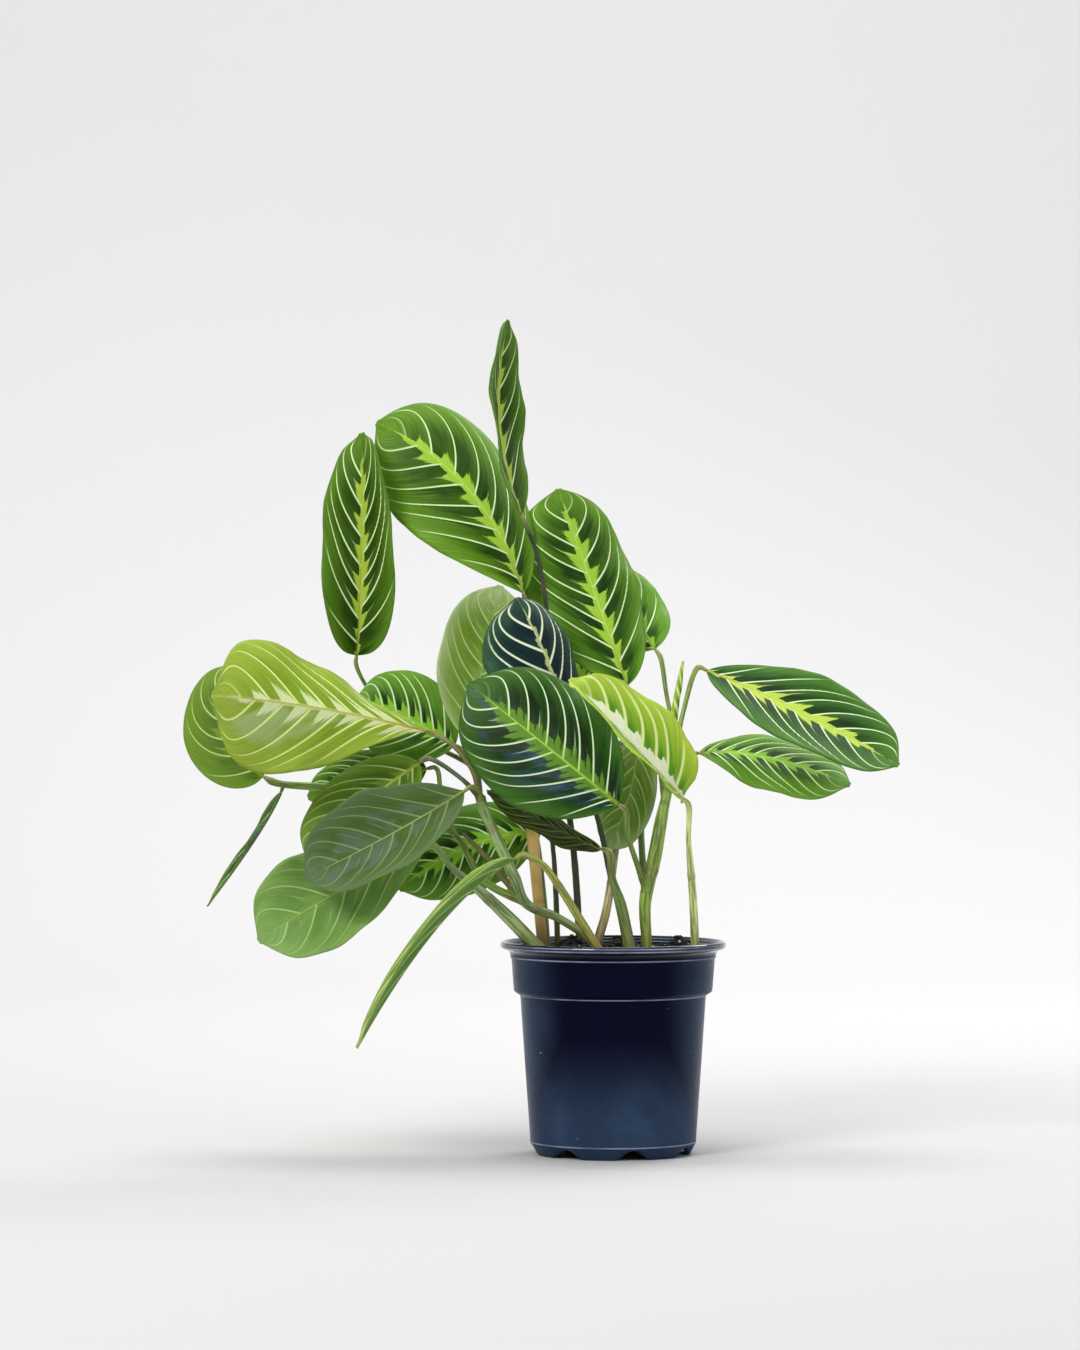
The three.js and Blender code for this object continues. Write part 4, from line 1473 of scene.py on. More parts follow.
STEMS = {
    "low_left_stem": (
        Branch(
            ((-30, -24, 110), (-46, -27, 128), (-63, -30, 146), (-81, -32, 163), (-99, -31, 178)),
            (4.2, 4.2, 4, 3.2, 2), "drooping_left", Tone.PALE,
        ),
    ),
    "left_stem": (
        Branch(
            ((1, -6, 110), (-16, -10, 134), (-35, -15, 147), (-54, -20, 156), (-61, -24, 172),
             (-71, -27, 194), (-80, -28, 214), (-82, -28, 222)),
            (2.6, 2.6, 2.6, 3, 3.5, 3.3, 3.1, 3.2), tone=Tone.PALE,
        ),
        Branch(((-82, -28, 221), (-87, -26, 238), (-100, -23, 254)), (2, 1.5, 1.4), "young_left", Tone.KHAKI),
        Branch(((-82, -28, 221), (-84, -14, 237)), (2, 1.5), "turned_mid", Tone.SHADED),
        Branch(((-83, -20, 230), (-88, -8, 240)), (1.5, 1.3), "mid_left", Tone.SHADED),
        Branch(((-82, -28, 221), (-94, -25, 233)), (2, 1.4), "lower_left", Tone.SHADED),
        Branch(((-81, -28, 217), (-82, -33, 224)), (1.8, 1.4), "turned_left"),
        Branch(
            ((-54, -20, 156), (-80, -19, 170), (-98, -15, 198), (-132, -9, 218), (-169, -9, 226),
             (-204, -13, 229)),
            (2.6, 2.4, 2, 2.1, 2.7, 2.1), "low_left", Tone.BRIGHT,
        ),
        Branch(((-197, -12, 229), (-202, -14, 228.5)), (1.3, 1.2), "hanging_left"),
        Branch(((-98, -15, 198), (-106, -6, 219)), (1.9, 1.4), "shaded_left"),
        Branch(
            ((-54, -20, 157), (-65, -18, 168), (-78, -22, 184), (-93, -23, 199)),
            (2.4, 2.2, 1.9, 1.2), tone=Tone.KHAKI,
        ),
    ),
    "tall_stem": (
        Branch(
            ((-20, 20, 110), (-22, 20, 156), (-25, 19, 193), (-32, 14, 243), (-39, 12, 287), (-42, 8, 343),
             (-48, 1, 374)),
            (2.2, 2.2, 2, 1.9, 1.8, 1.5, 1.4), "crown", Tone.DARK,
        ),
        Branch(((-35, 13, 262), (-46, 14, 310)), (1.7, 1.5), "upper_left", Tone.DARK),
    ),
    "thin_stem": (
        Branch(((-34, 28, 110), (-35, 28, 150), (-37, 28, 186)), (1.8, 1.8, 1.5), "inner_left", Tone.SHADED),
    ),
    "hanging_stem": (
        Branch(
            ((2, -43, 110), (-11, -45, 131), (-22, -46, 149), (-34, -47, 168), (-44, -47, 181)),
            (2.7, 2.7, 2.6, 2.4, 2), "hanging_front", Tone.YELLOW,
        ),
    ),
    "mid_stem": (
        Branch(
            ((-15, -30, 110), (-10, -26, 132), (-5, -20, 149), (-1, 0, 170), (3, 24, 196), (7, 27, 243)),
            (2.8, 2.8, 2.7, 2.4, 2, 1.7), "upper_mid", Tone.STRAW,
        ),
        Branch(((-1, 0, 170), (-9, -3, 205), (-20, -14, 240)), (2.1, 1.6, 1.4), "inner_dark", Tone.SHADED),
    ),
    "under_stem": (
        Branch(
            ((13, -42, 110), (9, -41, 132), (4, -40, 156), (-1, -38, 172)),
            (3.6, 3.6, 3.4, 2.2), "under_front", Tone.OLIVE,
        ),
    ),
    "right_stem": (
        Branch(
            ((21, -30, 110), (20, -31, 134), (19, -32, 155), (21, -32, 168), (25, -32, 185), (29, -30, 207),
             (33, -28, 226), (38, -24, 250), (43, -19, 274)),
            (3.2, 3.2, 3.6, 4, 4.2, 3.8, 2.6, 1.8, 1.5), "right", Tone.BRIGHT,
        ),
        Branch(((20, -32, 164), (15, -39, 178), (8, -53, 200)), (2.4, 1.8, 1.5), "front"),
        Branch(
            ((24, -31, 185), (33, -8, 215), (39, 24, 252), (34, 40, 285)),
            (2.2, 1.7, 1.5, 1.4), "upper_right",
        ),
        Branch(((33, -28, 226), (39, -10, 242)), (2, 1.5), "right_low"),
        Branch(((31, -29, 218), (27, -12, 250), (20, 6, 268)), (1.8, 1.5, 1.3), "inner_low"),
        Branch(((37, -25, 246), (37, -16, 262)), (1.8, 1.8)),
    ),
    "front_stem": (
        Branch(
            ((50, -22, 110), (50, -22, 132), (49, -28, 152), (47, -42, 176), (45, -56, 197)),
            (2.6, 2.6, 2.5, 2.3, 1.6), "young_front", Tone.LIGHT,
        ),
    ),
    "back_stem": (
        Branch(((20, 30, 110), (20, 31, 160), (18, 32, 200), (19, 36, 228)), (2.3, 2.2, 2, 1.6), "back_right"),
        Branch(((18, 32, 200), (0, 42, 214)), (1.8, 1.5), "back_low"),
    ),
    "back_left_stem": (
        Branch(
            ((-40, 40, 110), (-44, 44, 160), (-49, 48, 199), (-58, 49, 232)),
            (2.6, 2.5, 2.2, 1.7), "back_left",
        ),
        Branch(((-49, 48, 199), (-38, 56, 226)), (1.9, 1.5), "back_upper"),
        Branch(
            ((-49, 48, 199), (-84, 52, 236), (-130, 47, 262), (-152, 38, 286)),
            (2, 1.7, 1.5, 1.2), "far_left",
        ),
    ),
}


@dataclass
class Spear:
    """The youngest leaf, still rolled up, with the seam where its edge overlaps.

    Args:
        material: Its material.
        path: Its points in millimetres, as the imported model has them.
        radii: Its radius at each point.
        sides: Number of points round it.
        spacing: Distance between its stations.
        overlap: Step at the seam, as a share of the radius.
        seam_turn: How far the seam winds round from foot to tip, in turns.
    """

    material: Material
    path: tuple = ((37, -15.8, 262.4), (37.5, -12.4, 270), (40.5, -11, 290), (43, -11, 305))
    radii: tuple = (1.9, 2.5, 2, 0.7)
    sides: int = 40
    spacing: float = 0.8
    overlap: float = 0.22
    seam_turn: float = 0.8

    def build(self) -> Object:
        """Builds the rolled blade.

        Returns:
            The object.
        """
        path, radii = np.array(self.path), np.array(self.radii)
        stations, directions, sizes = smooth_path(path, radii, self.spacing)
        turn = np.arange(self.sides) / self.sides
        along = np.linspace(0, 1, len(stations))
        seam = 1.08 - self.overlap * np.mod(turn[None, :] + self.seam_turn * along[:, None], 1)
        points, faces = sweep(stations, directions, sizes[:, None] * seam, self.sides)
        turn, along = np.tile(turn, len(stations)), np.repeat(along, self.sides)
        across = 2 * turn - 1
        marks = {
            "across": across,
            "along": along,
            "reach": 6 + 8 * np.abs(across),
            "vein_place": 5 * along + 3 * turn,
        }
        for label, value in {"root": 0.5, "pitch": 4.0, "tint": 0.31, "lobes": 0.5}.items():
            marks[label] = np.full(len(points), value)
        return make_piece("rolled_leaf", points, faces, [self.material], ["leaf_spear"], marks)


@dataclass
class Cane:
    """The bamboo stick that stands among the stems.

    Args:
        material: Its material.
        foot: Its lower end in millimetres.
        head: Its upper end.
        foot_radius: Radius at the foot.
        head_radius: Radius at the head.
        nodes: Number of bamboo nodes.
        ridge: Height and half length of the ridge at a node.
        groove: Depth, half length and place of the groove above it.
        stain: Half length and place of the dark ring.
        rows: Number of stations along it.
        sides: Number of points round it.
        dirt: Heights between which the dirt on its foot fades.
    """

    material: Material
    foot: tuple = (-42, 15, 108)
    head: tuple = (-58, 16, 287)
    foot_radius: float = 3.1
    head_radius: float = 4.6
    nodes: int = 2
    ridge: tuple = (0.5, 1.2)
    groove: tuple = (0.25, 0.8, 2.6)
    stain: tuple = (2.2, 2.0)
    rows: int = 260
    sides: int = 32
    dirt: tuple = (126.0, 150.0)

    def build(self) -> Object:
        """Builds the stick with a ridge and a groove at each node.

        Returns:
            The object.
        """
        foot, head = np.array(self.foot, float), np.array(self.head, float)
        place = np.linspace(0, 1, self.rows)
        stations = foot + (head - foot) * place[:, None]
        directions = np.tile(unit(head - foot), (len(place), 1))
        length = np.linalg.norm(head - foot)
        radii = self.foot_radius + (self.head_radius - self.foot_radius) * place
        rings = np.zeros(len(place))
        for node in range(self.nodes):
            away = (place - (node + 0.5) / self.nodes) * length
            radii = radii + self.ridge[0] * bell(away, self.ridge[1])
            radii = radii - self.groove[0] * bell(away - self.groove[2], self.groove[1])
            rings = np.maximum(rings, bell(away - self.stain[1], self.stain[0]))
        points, faces = sweep(stations, directions, radii * 0.985, self.sides)
        angles = np.tile(2 * np.pi * np.arange(self.sides) / self.sides, len(place))
        height = np.repeat(place * length, self.sides)
        section = np.stack([np.cos(angles), np.sin(angles), 0.012 * height], axis=1)
        marks = {
            "section": section,
            "neck": np.repeat(rings, self.sides),
            "low": 1 - smooth(points[:, 2], *self.dirt),
        }
        return make_piece("bamboo_cane", points, faces, [self.material], ["cane"], marks)


# Pot and soil


@dataclass
class Pot:
    """The thin moulded nursery pot.

    Args:
        material: Its material.
        rim_radius: Outer radius of the rolled rim.
        height: Height of the rim over the ground.
        foot_radius: Outer radius of the foot ring.
        arches: Number of arches between the feet.
        first_arch: Angle of the first arch in degrees.
        arch_width: Width of an arch.
        arch_height: Height of an arch.
        sides: Number of points round the pot.
    """

    material: Material
    rim_radius: float = 70
    height: float = 131.6
    foot_radius: float = 48
    arches: int = 7
    first_arch: float = -76
    arch_width: float = 27
    arch_height: float = 6
    sides: int = 240

    def outline(self) -> list:
        """Lists the wall's section as rounded stretches, from the pad under the floor, up and back inside.

        Returns:
            Radius and height of each point.
        """
        rim, top, foot = self.rim_radius, self.height, self.foot_radius
        turns = np.radians(range(-70, 106, 16))
        lip = [(rim - 1.9 + 1.9 * math.cos(a), top - 2.3 + 2.3 * math.sin(a)) for a in turns]
        return [
            (0, 0), (14.6, 0), (15, 0.2), (15.4, 1), (15.8, 6.7), (foot - 3.4, 6.7), (foot - 3, 6.1),
            (foot - 2.8, 0.3), (foot - 2.4, 0), (foot - 0.6, 0), (foot - 0.1, 0.3), (foot + 0.4, 1.2),
            (50.9, 6.2), (51.2, 7), (51.55, 7.4), (51.65, 7.8), (51.55, 8.3), (51.4, 8.9), (54.4, 52),
            (57.45, 97.2), (57.6, 97.9), (58.1, 98.6), (60.8, 100.2), (61.4, 100.9), (61.6, 101.8),
            (62.3, 111), (63, 120.7), (63.3, 121.2), (63.75, 121.7), (63.8, 122.2), (63.6, 122.7),
            (63.6, 123.3), (64.5, 125), (65.4, 126.1), (66.8, 126.9), (68.2, 127.2), *lip,
            (rim - 3, top - 0.6), (rim - 3.9, top - 1.8), (62.7, 124.8), (61.8, 121.3), (61.6, 120.8),
            (60.3, 102.6), (60, 102), (56.6, 99.6), (56.2, 98.6), (foot + 2, 10.7), (foot + 1.6, 9.5),
            (foot + 0.6, 8.6), (0, 8.5),
        ]

    def build(self) -> Object:
        """Turns the section, lifts the foot ring into arches and cuts the edge of each arch smooth.

        Returns:
            The object.
        """
        section = np.array(self.outline())[1:-1]
        angles = 2 * np.pi * np.arange(self.sides) / self.sides
        radius, height = (np.repeat(column[:, None], self.sides, axis=1) for column in section.T)
        pitch = 2 * np.pi / self.arches
        from_arch = np.mod(angles - math.radians(self.first_arch) + pitch / 2, pitch) - pitch / 2
        across = np.minimum(1, np.abs(from_arch) * self.foot_radius / (self.arch_width / 2))
        lifted = self.arch_height * (0.5 + 0.5 * np.cos(np.pi * across))
        ring = (radius > self.foot_radius - 4) & (height < self.arch_height + 0.4)
        height = np.where(ring, np.maximum(height, np.broadcast_to(lifted, height.shape)), height)
        points = np.stack([radius * np.cos(angles), radius * np.sin(angles), height], axis=2).reshape(-1, 3)
        faces = tube_faces(len(section), self.sides)
        return make_piece("nursery_pot", points, faces, [self.material], ["pot"])


@dataclass(frozen=True)
class Grains:
    """One kind of loose grain on the soil.

    Args:
        name: Name of the piece that they make up.
        count: Number of grains.
        sizes: Smallest and largest radius.
        flatness: Height of a grain as a share of its radius.
        lift: How far a grain's middle stands over the soil, as a share of its height.
    """

    name: str
    count: int
    sizes: tuple
    flatness: float
    lift: float


@dataclass
class Soil:
    """Dark potting soil with crumbs, bark and perlite on its lumpy top.

    Args:
        soil: Material of the soil and its crumbs.
        bark: Material of the bark chips.
        perlite: Material of the white grains.
        radius: Radius of the top.
        edge_height: Height of the top at the wall.
        crown_height: Height of the top in the middle.
        wall: Height and radius of its side against the pot, from the floor up.
        rings: Number of rings of points on the top.
        sides: Number of points in a ring.
        cane_foot: Place along X and Y of the cane's foot, and a radius that clears it.
        room: Least gap between a grain and a stem.
        lumps: Place along X and Y, size and height of each lump on the top.
    """

    soil: Material
    bark: Material
    perlite: Material
    radius: float = 61.2
    edge_height: float = 123.2
    crown_height: float = 128
    wall: tuple = ((9.1, 47.8), (60, 52), (99, 55.5), (103, 59.6))
    rings: int = 84
    sides: int = 180
    cane_foot: tuple = (-42, 15, 3.5)
    room: float = 0.6
    lumps: tuple = (
        (42, 14, 10, 9), (-26, 2, 9, 9), (4, -6, 12, 5), (-46, -8, 9, 4), (24, -48, 9, 4), (-28, -44, 10, 3.5),
        (6, 46, 13, 4.5), (-20, 50, 8, 3),
    )

    def top(self, x: float, y: float) -> float:
        """Gives the soil's height.

        Args:
            x: Place along X in millimetres.
            y: Place along Y.

        Returns:
            The height in millimetres.
        """
        share = min(1, math.hypot(x, y) / self.radius)
        centre = math.cos(0.5 * math.pi * share)
        height = self.edge_height + (self.crown_height - self.edge_height) * centre
        height += 0.9 * math.sin(0.34 * x + 1.3) * math.sin(0.31 * y) * centre**0.3
        for lump_x, lump_y, size, rise in self.lumps:
            height += rise * math.exp(-2.2 * ((x - lump_x) ** 2 + (y - lump_y) ** 2) / size**2)
        rough = noise.fractal(Vector((x * 0.16, y * 0.16, 3.0)), 1.0, 2.1, 5) * 1.5
        crumbs = noise.noise(Vector((x * 0.75, y * 0.75, 9.0))) * 0.8
        return height + (rough + crumbs) * smooth(1 - share, 0.0, 0.06)

    def build_ground(self) -> Object:
        """Builds the body of soil with its uneven top.

        Returns:
            The object.
        """
        angles = 2 * np.pi * np.arange(self.sides) / self.sides
        points = [(radius * math.cos(a), radius * math.sin(a), z) for z, radius in self.wall for a in angles]
        for radius in self.radius * (1 - np.linspace(0, 1, self.rings) ** 1.05 * 0.995):
            for a in angles:
                x, y = radius * math.cos(a), radius * math.sin(a)
                points.append((x, y, self.top(x, y)))
        faces = tube_faces(self.rings + len(self.wall), self.sides)
        return make_piece("soil_body", points, faces, [self.soil], ["soil"])

    def scatter(self, grains: Grains, material: Material, seed: int) -> Object:
        """Scatters small broken grains over the top, clear of the stems.

        Args:
            grains: What they are like.
            material: Their material.
            seed: Seed of the draw.

        Returns:
            The object.
        """
        draw = np.random.default_rng(SEED + seed)
        ball, ball_faces = icosphere()
        feet = [(*branches[0].path[0][:2], branches[0].radii[0]) for branches in STEMS.values()]
        feet.append(self.cane_foot)
        smallest, largest = grains.sizes
        points, faces = [], []
        while len(faces) < grains.count * len(ball_faces):
            away, angle = (self.radius - 2) * math.sqrt(draw.random()), 2 * math.pi * draw.random()
            x, y = away * math.cos(angle), away * math.sin(angle)
            size = smallest + (largest - smallest) * draw.random() ** 2.5
            if any(math.hypot(x - fx, y - fy) < size + radius + self.room for fx, fy, radius in feet):
                continue
            stretch = np.array([1 + 0.7 * draw.random(), 0.6 + 0.4 * draw.random(), grains.flatness]) * size
            spin = 2 * math.pi * draw.random()
            tilt = 0.7 * (draw.random() - 0.5)
            grain = ball * (1 + 0.28 * (draw.random((len(ball), 1)) - 0.5)) * stretch
            grain = grain @ turned(spin, tilt).T
            centre = np.array([x, y, self.top(x, y) + grains.lift * size * grains.flatness])
            faces += [[len(points) + v for v in face] for face in ball_faces]
            points += (grain + centre).tolist()
        return make_piece(grains.name, points, faces, [material])

    def build(self) -> list:
        """Builds the soil and what lies on it.

        Returns:
            The objects.
        """
        return [
            self.build_ground(),
            self.scatter(Grains("soil_crumbs", 1500, (0.5, 2.6), 0.75, 0.25), self.soil, 1),
            self.scatter(Grains("bark_chips", 60, (1.2, 3.4), 0.32, 0.9), self.bark, 2),
            self.scatter(Grains("perlite_grains", 46, (0.5, 1.5), 0.85, 0.6), self.perlite, 3),
        ]


def turned(spin: float, tilt: float) -> Array:
    """Makes a rotation about Z and then a tilt about X.

    Args:
        spin: Angle about Z.
        tilt: Angle about X.

    Returns:
        A 3 by 3 matrix.
    """
    about_z = np.array([[math.cos(spin), -math.sin(spin), 0], [math.sin(spin), math.cos(spin), 0], [0, 0, 1]])
    about_x = np.array([[1, 0, 0], [0, math.cos(tilt), -math.sin(tilt)], [0, math.sin(tilt), math.cos(tilt)]])
    return about_z @ about_x


def icosphere() -> tuple:
    """Makes a ball of twenty triangles.

    Returns:
        Its points and faces.
    """
    golden = (1 + 5**0.5) / 2
    points = []
    for a in (-1, 1):
        for b in (-golden, golden):
            points += [(0, a, b), (a, b, 0), (b, 0, a)]
    points = np.array(points) / math.hypot(1, golden)
    edge = min(np.linalg.norm(points[0] - p) for p in points[1:])
    faces = []
    for i in range(12):
        for j in range(i + 1, 12):
            for k in range(j + 1, 12):
                corners = points[[i, j, k]]
                sides = np.linalg.norm(corners - np.roll(corners, 1, axis=0), axis=1)
                if np.all(sides < edge * 1.01):
                    facing = np.cross(corners[1] - corners[0], corners[2] - corners[0])
                    faces.append([i, j, k] if np.dot(facing, corners.sum(0)) > 0 else [i, k, j])
    return points, faces


# Stage, light and camera


@dataclass(frozen=True)
class Lamp:
    """One soft square light, with places in metres.

    Args:
        name: Its name.
        place: Its place.
        size: Its side.
        power: Its power in watts.
        colour: Its colour.
        aim: The point that it faces, the middle of the plant for most.
    """

    name: str
    place: tuple
    size: float
    power: float
    colour: tuple = (1, 1, 1)
    aim: tuple = (-0.04, 0.0, 0.28)

    def build(self) -> Object:
        """Adds the light.

        Returns:
            The light object.
        """
        data = bpy.data.lights.new(self.name, "AREA")
        data.shape = "SQUARE"
        data.size = self.size
        data.energy = self.power
        data.color = self.colour
        light = add_object(self.name, data)
        light.location = self.place
        light.rotation_euler = (Vector(self.aim) - Vector(self.place)).to_track_quat("-Z", "Y").to_euler()
        return light


@dataclass
class Studio:
    """Pale seamless floor and backdrop, soft light and the camera in front of the plant, sizes in metres.

    Args:
        camera_place: The camera's place; it looks level along +Y.
        lens: Focal length for a 36 mm wide sensor.
        floor: Colour of the floor.
        wall: Colour of the backdrop that the floor runs up into.
        shade: Colour of the faint clouds on the floor.
        surroundings: Colour that is seen beyond the floor.
        fade: Distances between which the floor fades out at its sides and front.
        front: Where the floor starts along Y.
        back: Where the backdrop stands along Y.
        bend: Radius of the bend between them.
        half_width: Half the width of both.
        top: Height of the backdrop.
        daylight: Linear colour of the even light from all round.
        lamps: The key, fill, top and back lights, and the one on the backdrop.
    """

    camera_place: tuple = (-0.0453, -3.0, 0.2964)
    lens: float = 129.1
    floor: tuple = (198, 197, 196)
    wall: tuple = (227, 226, 225)
    shade: tuple = (206, 202, 198)
    surroundings: tuple = (236, 235, 234)
    fade: tuple = (1.2, 2.6)
    front: float = -6.0
    back: float = 3.2
    bend: float = 1.6
    half_width: float = 7.0
    top: float = 6.0
    daylight: tuple = (0.93, 0.95, 1, 1)
    lamps: tuple = (
        Lamp("key", (-1.5, -2.2, 1.9), 1.1, 58, (1, 0.985, 0.96)),
        Lamp("fill", (2.1, -1.8, 0.9), 1.4, 12, (0.93, 0.97, 1)),
        Lamp("top", (0.0, 0.1, 2.4), 1.2, 24),
        Lamp("back", (0.9, 1.3, 1.7), 0.9, 18),
        Lamp("wall", (0.0, 1.0, 3.4), 2.4, 40, aim=(0.0, 3.2, 1.1)),
    )

    def build_camera(self) -> Object:
        """Makes the scene's camera.

        Returns:
            The camera object.
        """
        data = bpy.data.cameras.new("camera")
        data.lens = self.lens
        data.sensor_width = 36
        data.clip_end = 60
        camera = add_object("camera", data)
        camera.location = self.camera_place
        camera.rotation_euler = (math.radians(90), 0, 0)
        bpy.context.scene.camera = camera
        return camera

    def build_floor(self) -> Object:
        """Makes a floor that runs up into a backdrop in one sweep.

        Returns:
            The object.
        """
        start, bend = self.back - self.bend, self.bend
        turns = np.radians(np.linspace(0, 90, 25))[1:]
        section = [(self.front, 0.0), (start, 0.0)]
        section += [(start + bend * math.sin(a), bend - bend * math.cos(a)) for a in turns]
        section.append((self.back, self.top))
        points = [(x, y, z) for y, z in section for x in (-self.half_width, self.half_width)]
        mesh = bpy.data.meshes.new("floor")
        mesh.from_pydata(points, [], grid_faces(len(section), 2, flip=True))
        mesh.materials.append(self.floor_material())
        mesh.shade_smooth()
        floor = add_object("studio_floor", mesh)
        return floor

    def floor_material(self) -> Material:
        """Makes the floor's matt pale paper, which fades into the surroundings at its sides and front.

        The back of the paper is clear, so the backdrop hides nothing from behind.

        Returns:
            The material.
        """
        material, graph, shader, out = Finish("studio_paper").begin()
        place = graph.object_place()
        parts = graph.add("ShaderNodeSeparateXYZ")
        graph.feed(parts.inputs[0], place)
        paper = graph.mix(graph.step(parts.outputs["Y"], 0.0, 2.8), self.floor, self.wall)
        colour = graph.mix(graph.times(graph.noise(place, 3.0), 0.06), paper, self.shade)
        graph.feed_each(shader, {"Base Color": colour, "Roughness": 0.9, "Specular IOR Level": 0.1})
        front = graph.math("MINIMUM", parts.outputs["Y"], 0.0)
        aside = parts.outputs["X"]
        away = graph.math("ADD", graph.times(aside, aside), graph.times(front, front))
        faded = graph.step(graph.math("SQRT", away), *self.fade)
        back = graph.add("ShaderNodeNewGeometry").outputs["Backfacing"]
        clear = graph.add("ShaderNodeBsdfTransparent").outputs[0]
        graph.blend(graph.math("MAXIMUM", faded, back), shader.outputs[0], clear, out.inputs["Surface"])
        return material

    def build_lights(self) -> None:
        """Adds the lights and the pale surroundings."""
        for lamp in self.lamps:
            lamp.build()
        bpy.context.scene.world = self.build_world()
        bpy.context.scene.view_settings.view_transform = "Standard"
        bpy.context.scene.view_settings.exposure = 0.0

    def build_world(self) -> World:
        """Makes the surroundings: an even soft light, seen as the same pale tone as the backdrop.

        Returns:
            The world.
        """
        world = bpy.data.worlds.new("surroundings")
        world.use_nodes = True
        graph = Graph(world.node_tree)
        light = world.node_tree.nodes["Background"]
        graph.feed_each(light, {"Color": self.daylight, "Strength": 0.46})
        seen = graph.add("ShaderNodeBackground")
        graph.feed(seen.inputs["Color"], self.surroundings)
        to_camera = graph.add("ShaderNodeLightPath").outputs["Is Camera Ray"]
        surface = world.node_tree.nodes["World Output"].inputs["Surface"]
        graph.blend(to_camera, light.outputs[0], seen.outputs[0], surface)
        return world

    def build(self) -> Object:
        """Builds the lights and the floor, and gives the floor."""
        self.build_lights()
        return self.build_floor()


# The whole plant


GREEN_UPPER = LeafFinish(
    "leaf_green_upper", dark=(9, 44, 7), mid=(88, 140, 26), warm=(104, 148, 10), margin=(122, 170, 54),
    lobe=(166, 208, 66), vein=(222, 244, 182), rib=(190, 222, 100), blotch=0.92,
)

DEEP_UPPER = replace(
    GREEN_UPPER, name="leaf_deep_upper", dark=(15, 45, 4), mid=(76, 119, 20), warm=(82, 120, 14),
    margin=(104, 148, 42), lobe=(176, 202, 70), rib=(188, 206, 88), blotch=0.8,
)

TEAL_UPPER = replace(
    DEEP_UPPER, name="leaf_teal_upper", dark=(4, 33, 8), mid=(60, 112, 36), warm=(54, 104, 28),
    margin=(86, 136, 46), lobe=(190, 214, 80), shine=0.05,
)

BRIGHT_UPPER = replace(
    GREEN_UPPER, name="leaf_bright_upper", dark=(14, 54, 12), mid=(96, 150, 38), warm=(108, 160, 26),
    margin=(128, 180, 64), lobe=(144, 198, 56), rib=(176, 216, 88), marks={"Blotch Reach": 0.5}, blotch=1.0,
)

DARK_UPPER = replace(
    GREEN_UPPER, name="leaf_dark_upper", dark=(3, 18, 8), mid=(46, 94, 30), warm=(50, 90, 12),
    margin=(80, 124, 48), lobe=(100, 144, 40), vein=(220, 240, 196), rib=(168, 212, 80),
    marks={
        "Lobe Reach": 12.0, "Lobe Base": 0.58, "Lobe Softness": 0.5, "Gaps": 1.0, "Blotch Reach": 0.68,
        "Painted Sheen On One Side": 1.0,
    },
    painted_sheen=(66, 92, 122), painted_sheen_share=0.6, rough=0.36,
)

NIGHT_UPPER = replace(
    DARK_UPPER, name="leaf_night_upper", dark=(14, 30, 38), mid=(30, 62, 54), warm=(30, 62, 54),
    margin=(70, 110, 76), vein=(230, 240, 204), lobe=(188, 196, 128), rib=(206, 212, 150),
    painted_sheen=(24, 44, 60), marks={"Vein Width": 0.76, "Lobe Reach": 9.0, "Streaks": 0.0}, painted_sheen_share=0.4,
)

LIME_UPPER = replace(
    GREEN_UPPER, name="leaf_lime_upper", dark=(108, 142, 26), mid=(156, 184, 60), warm=(158, 183, 54),
    margin=(170, 192, 74), lobe=(230, 238, 186), vein=(230, 242, 152), rib=(186, 180, 66),
    rib_base=(184, 132, 30), painted_sheen=(204, 218, 176),
    marks={
        "Vein Width": 0.66, "Lobe Reach": 13.0, "Lobe Base": 0.08, "Lobe Taper": 0.1, "Lobe Softness": 1.1,
        "Streaks": 0.5, "Painted Sheen On One Side": 1.0,
    },
    blotch=0.6, lobes=0.85, painted_sheen_share=0.45, glow=0.22,
)

BANDED_UPPER = replace(
    LIME_UPPER, name="leaf_banded_upper", dark=(84, 148, 38), mid=(174, 206, 60), warm=(176, 206, 58),
    margin=(204, 224, 88), lobe=(255, 255, 238), vein=(236, 248, 168), rib=(250, 252, 220),
    rib_base=(240, 240, 180),
    marks={"Vein Width": 1.0, "Lobe Reach": 8.6, "Lobe Base": 0.62, "Blotch Reach": 0.55, "Streaks": 0.0},
    blotch=1.0, lobes=1.0, painted_sheen_share=0.0,
)

# A paler copy of the bright finish with weaker blotches, given to the low left leaves so that they look
# lighter where they lie in shade: painted light.
PAINTED_LIGHT_UPPER = replace(
    BRIGHT_UPPER, name="leaf_shade_upper", dark=(64, 100, 22), mid=(110, 145, 46), warm=(110, 144, 40),
    margin=(128, 162, 60), lobe=(134, 164, 54), vein=(194, 220, 132), blotch=0.8, lobes=0.6, veins=0.85,
)

STRIPED_UPPER = replace(
    GREEN_UPPER, name="leaf_striped_upper", dark=(80, 122, 32), mid=(148, 180, 78), warm=(152, 182, 70),
    margin=(182, 210, 116), vein=(216, 236, 152), marks={"Vein Width": 0.8, "Streaks": 0.0}, blotch=1.0,
)

GREEN_LOWER = replace(
    GREEN_UPPER, name="leaf_green_lower", dark=(92, 133, 58), mid=(120, 160, 74), warm=(118, 158, 64),
    margin=(146, 184, 104), lobe=(140, 174, 88), vein=(188, 214, 134), rib=(172, 198, 112),
    painted_sheen=(134, 164, 110), blotch=0.7, painted_sheen_share=0.35, lobes=0.35, veins=0.75, rough=0.46, relief_mm=-0.45,
)

GREY_LOWER = replace(
    GREEN_LOWER, name="leaf_grey_lower", dark=(58, 84, 22), mid=(84, 111, 54), warm=(84, 110, 50),
    margin=(104, 126, 92), lobe=(84, 108, 62), vein=(152, 178, 114), rib=(170, 192, 118),
    painted_sheen=(104, 124, 112), veins=0.5, painted_sheen_share=0.6,
)

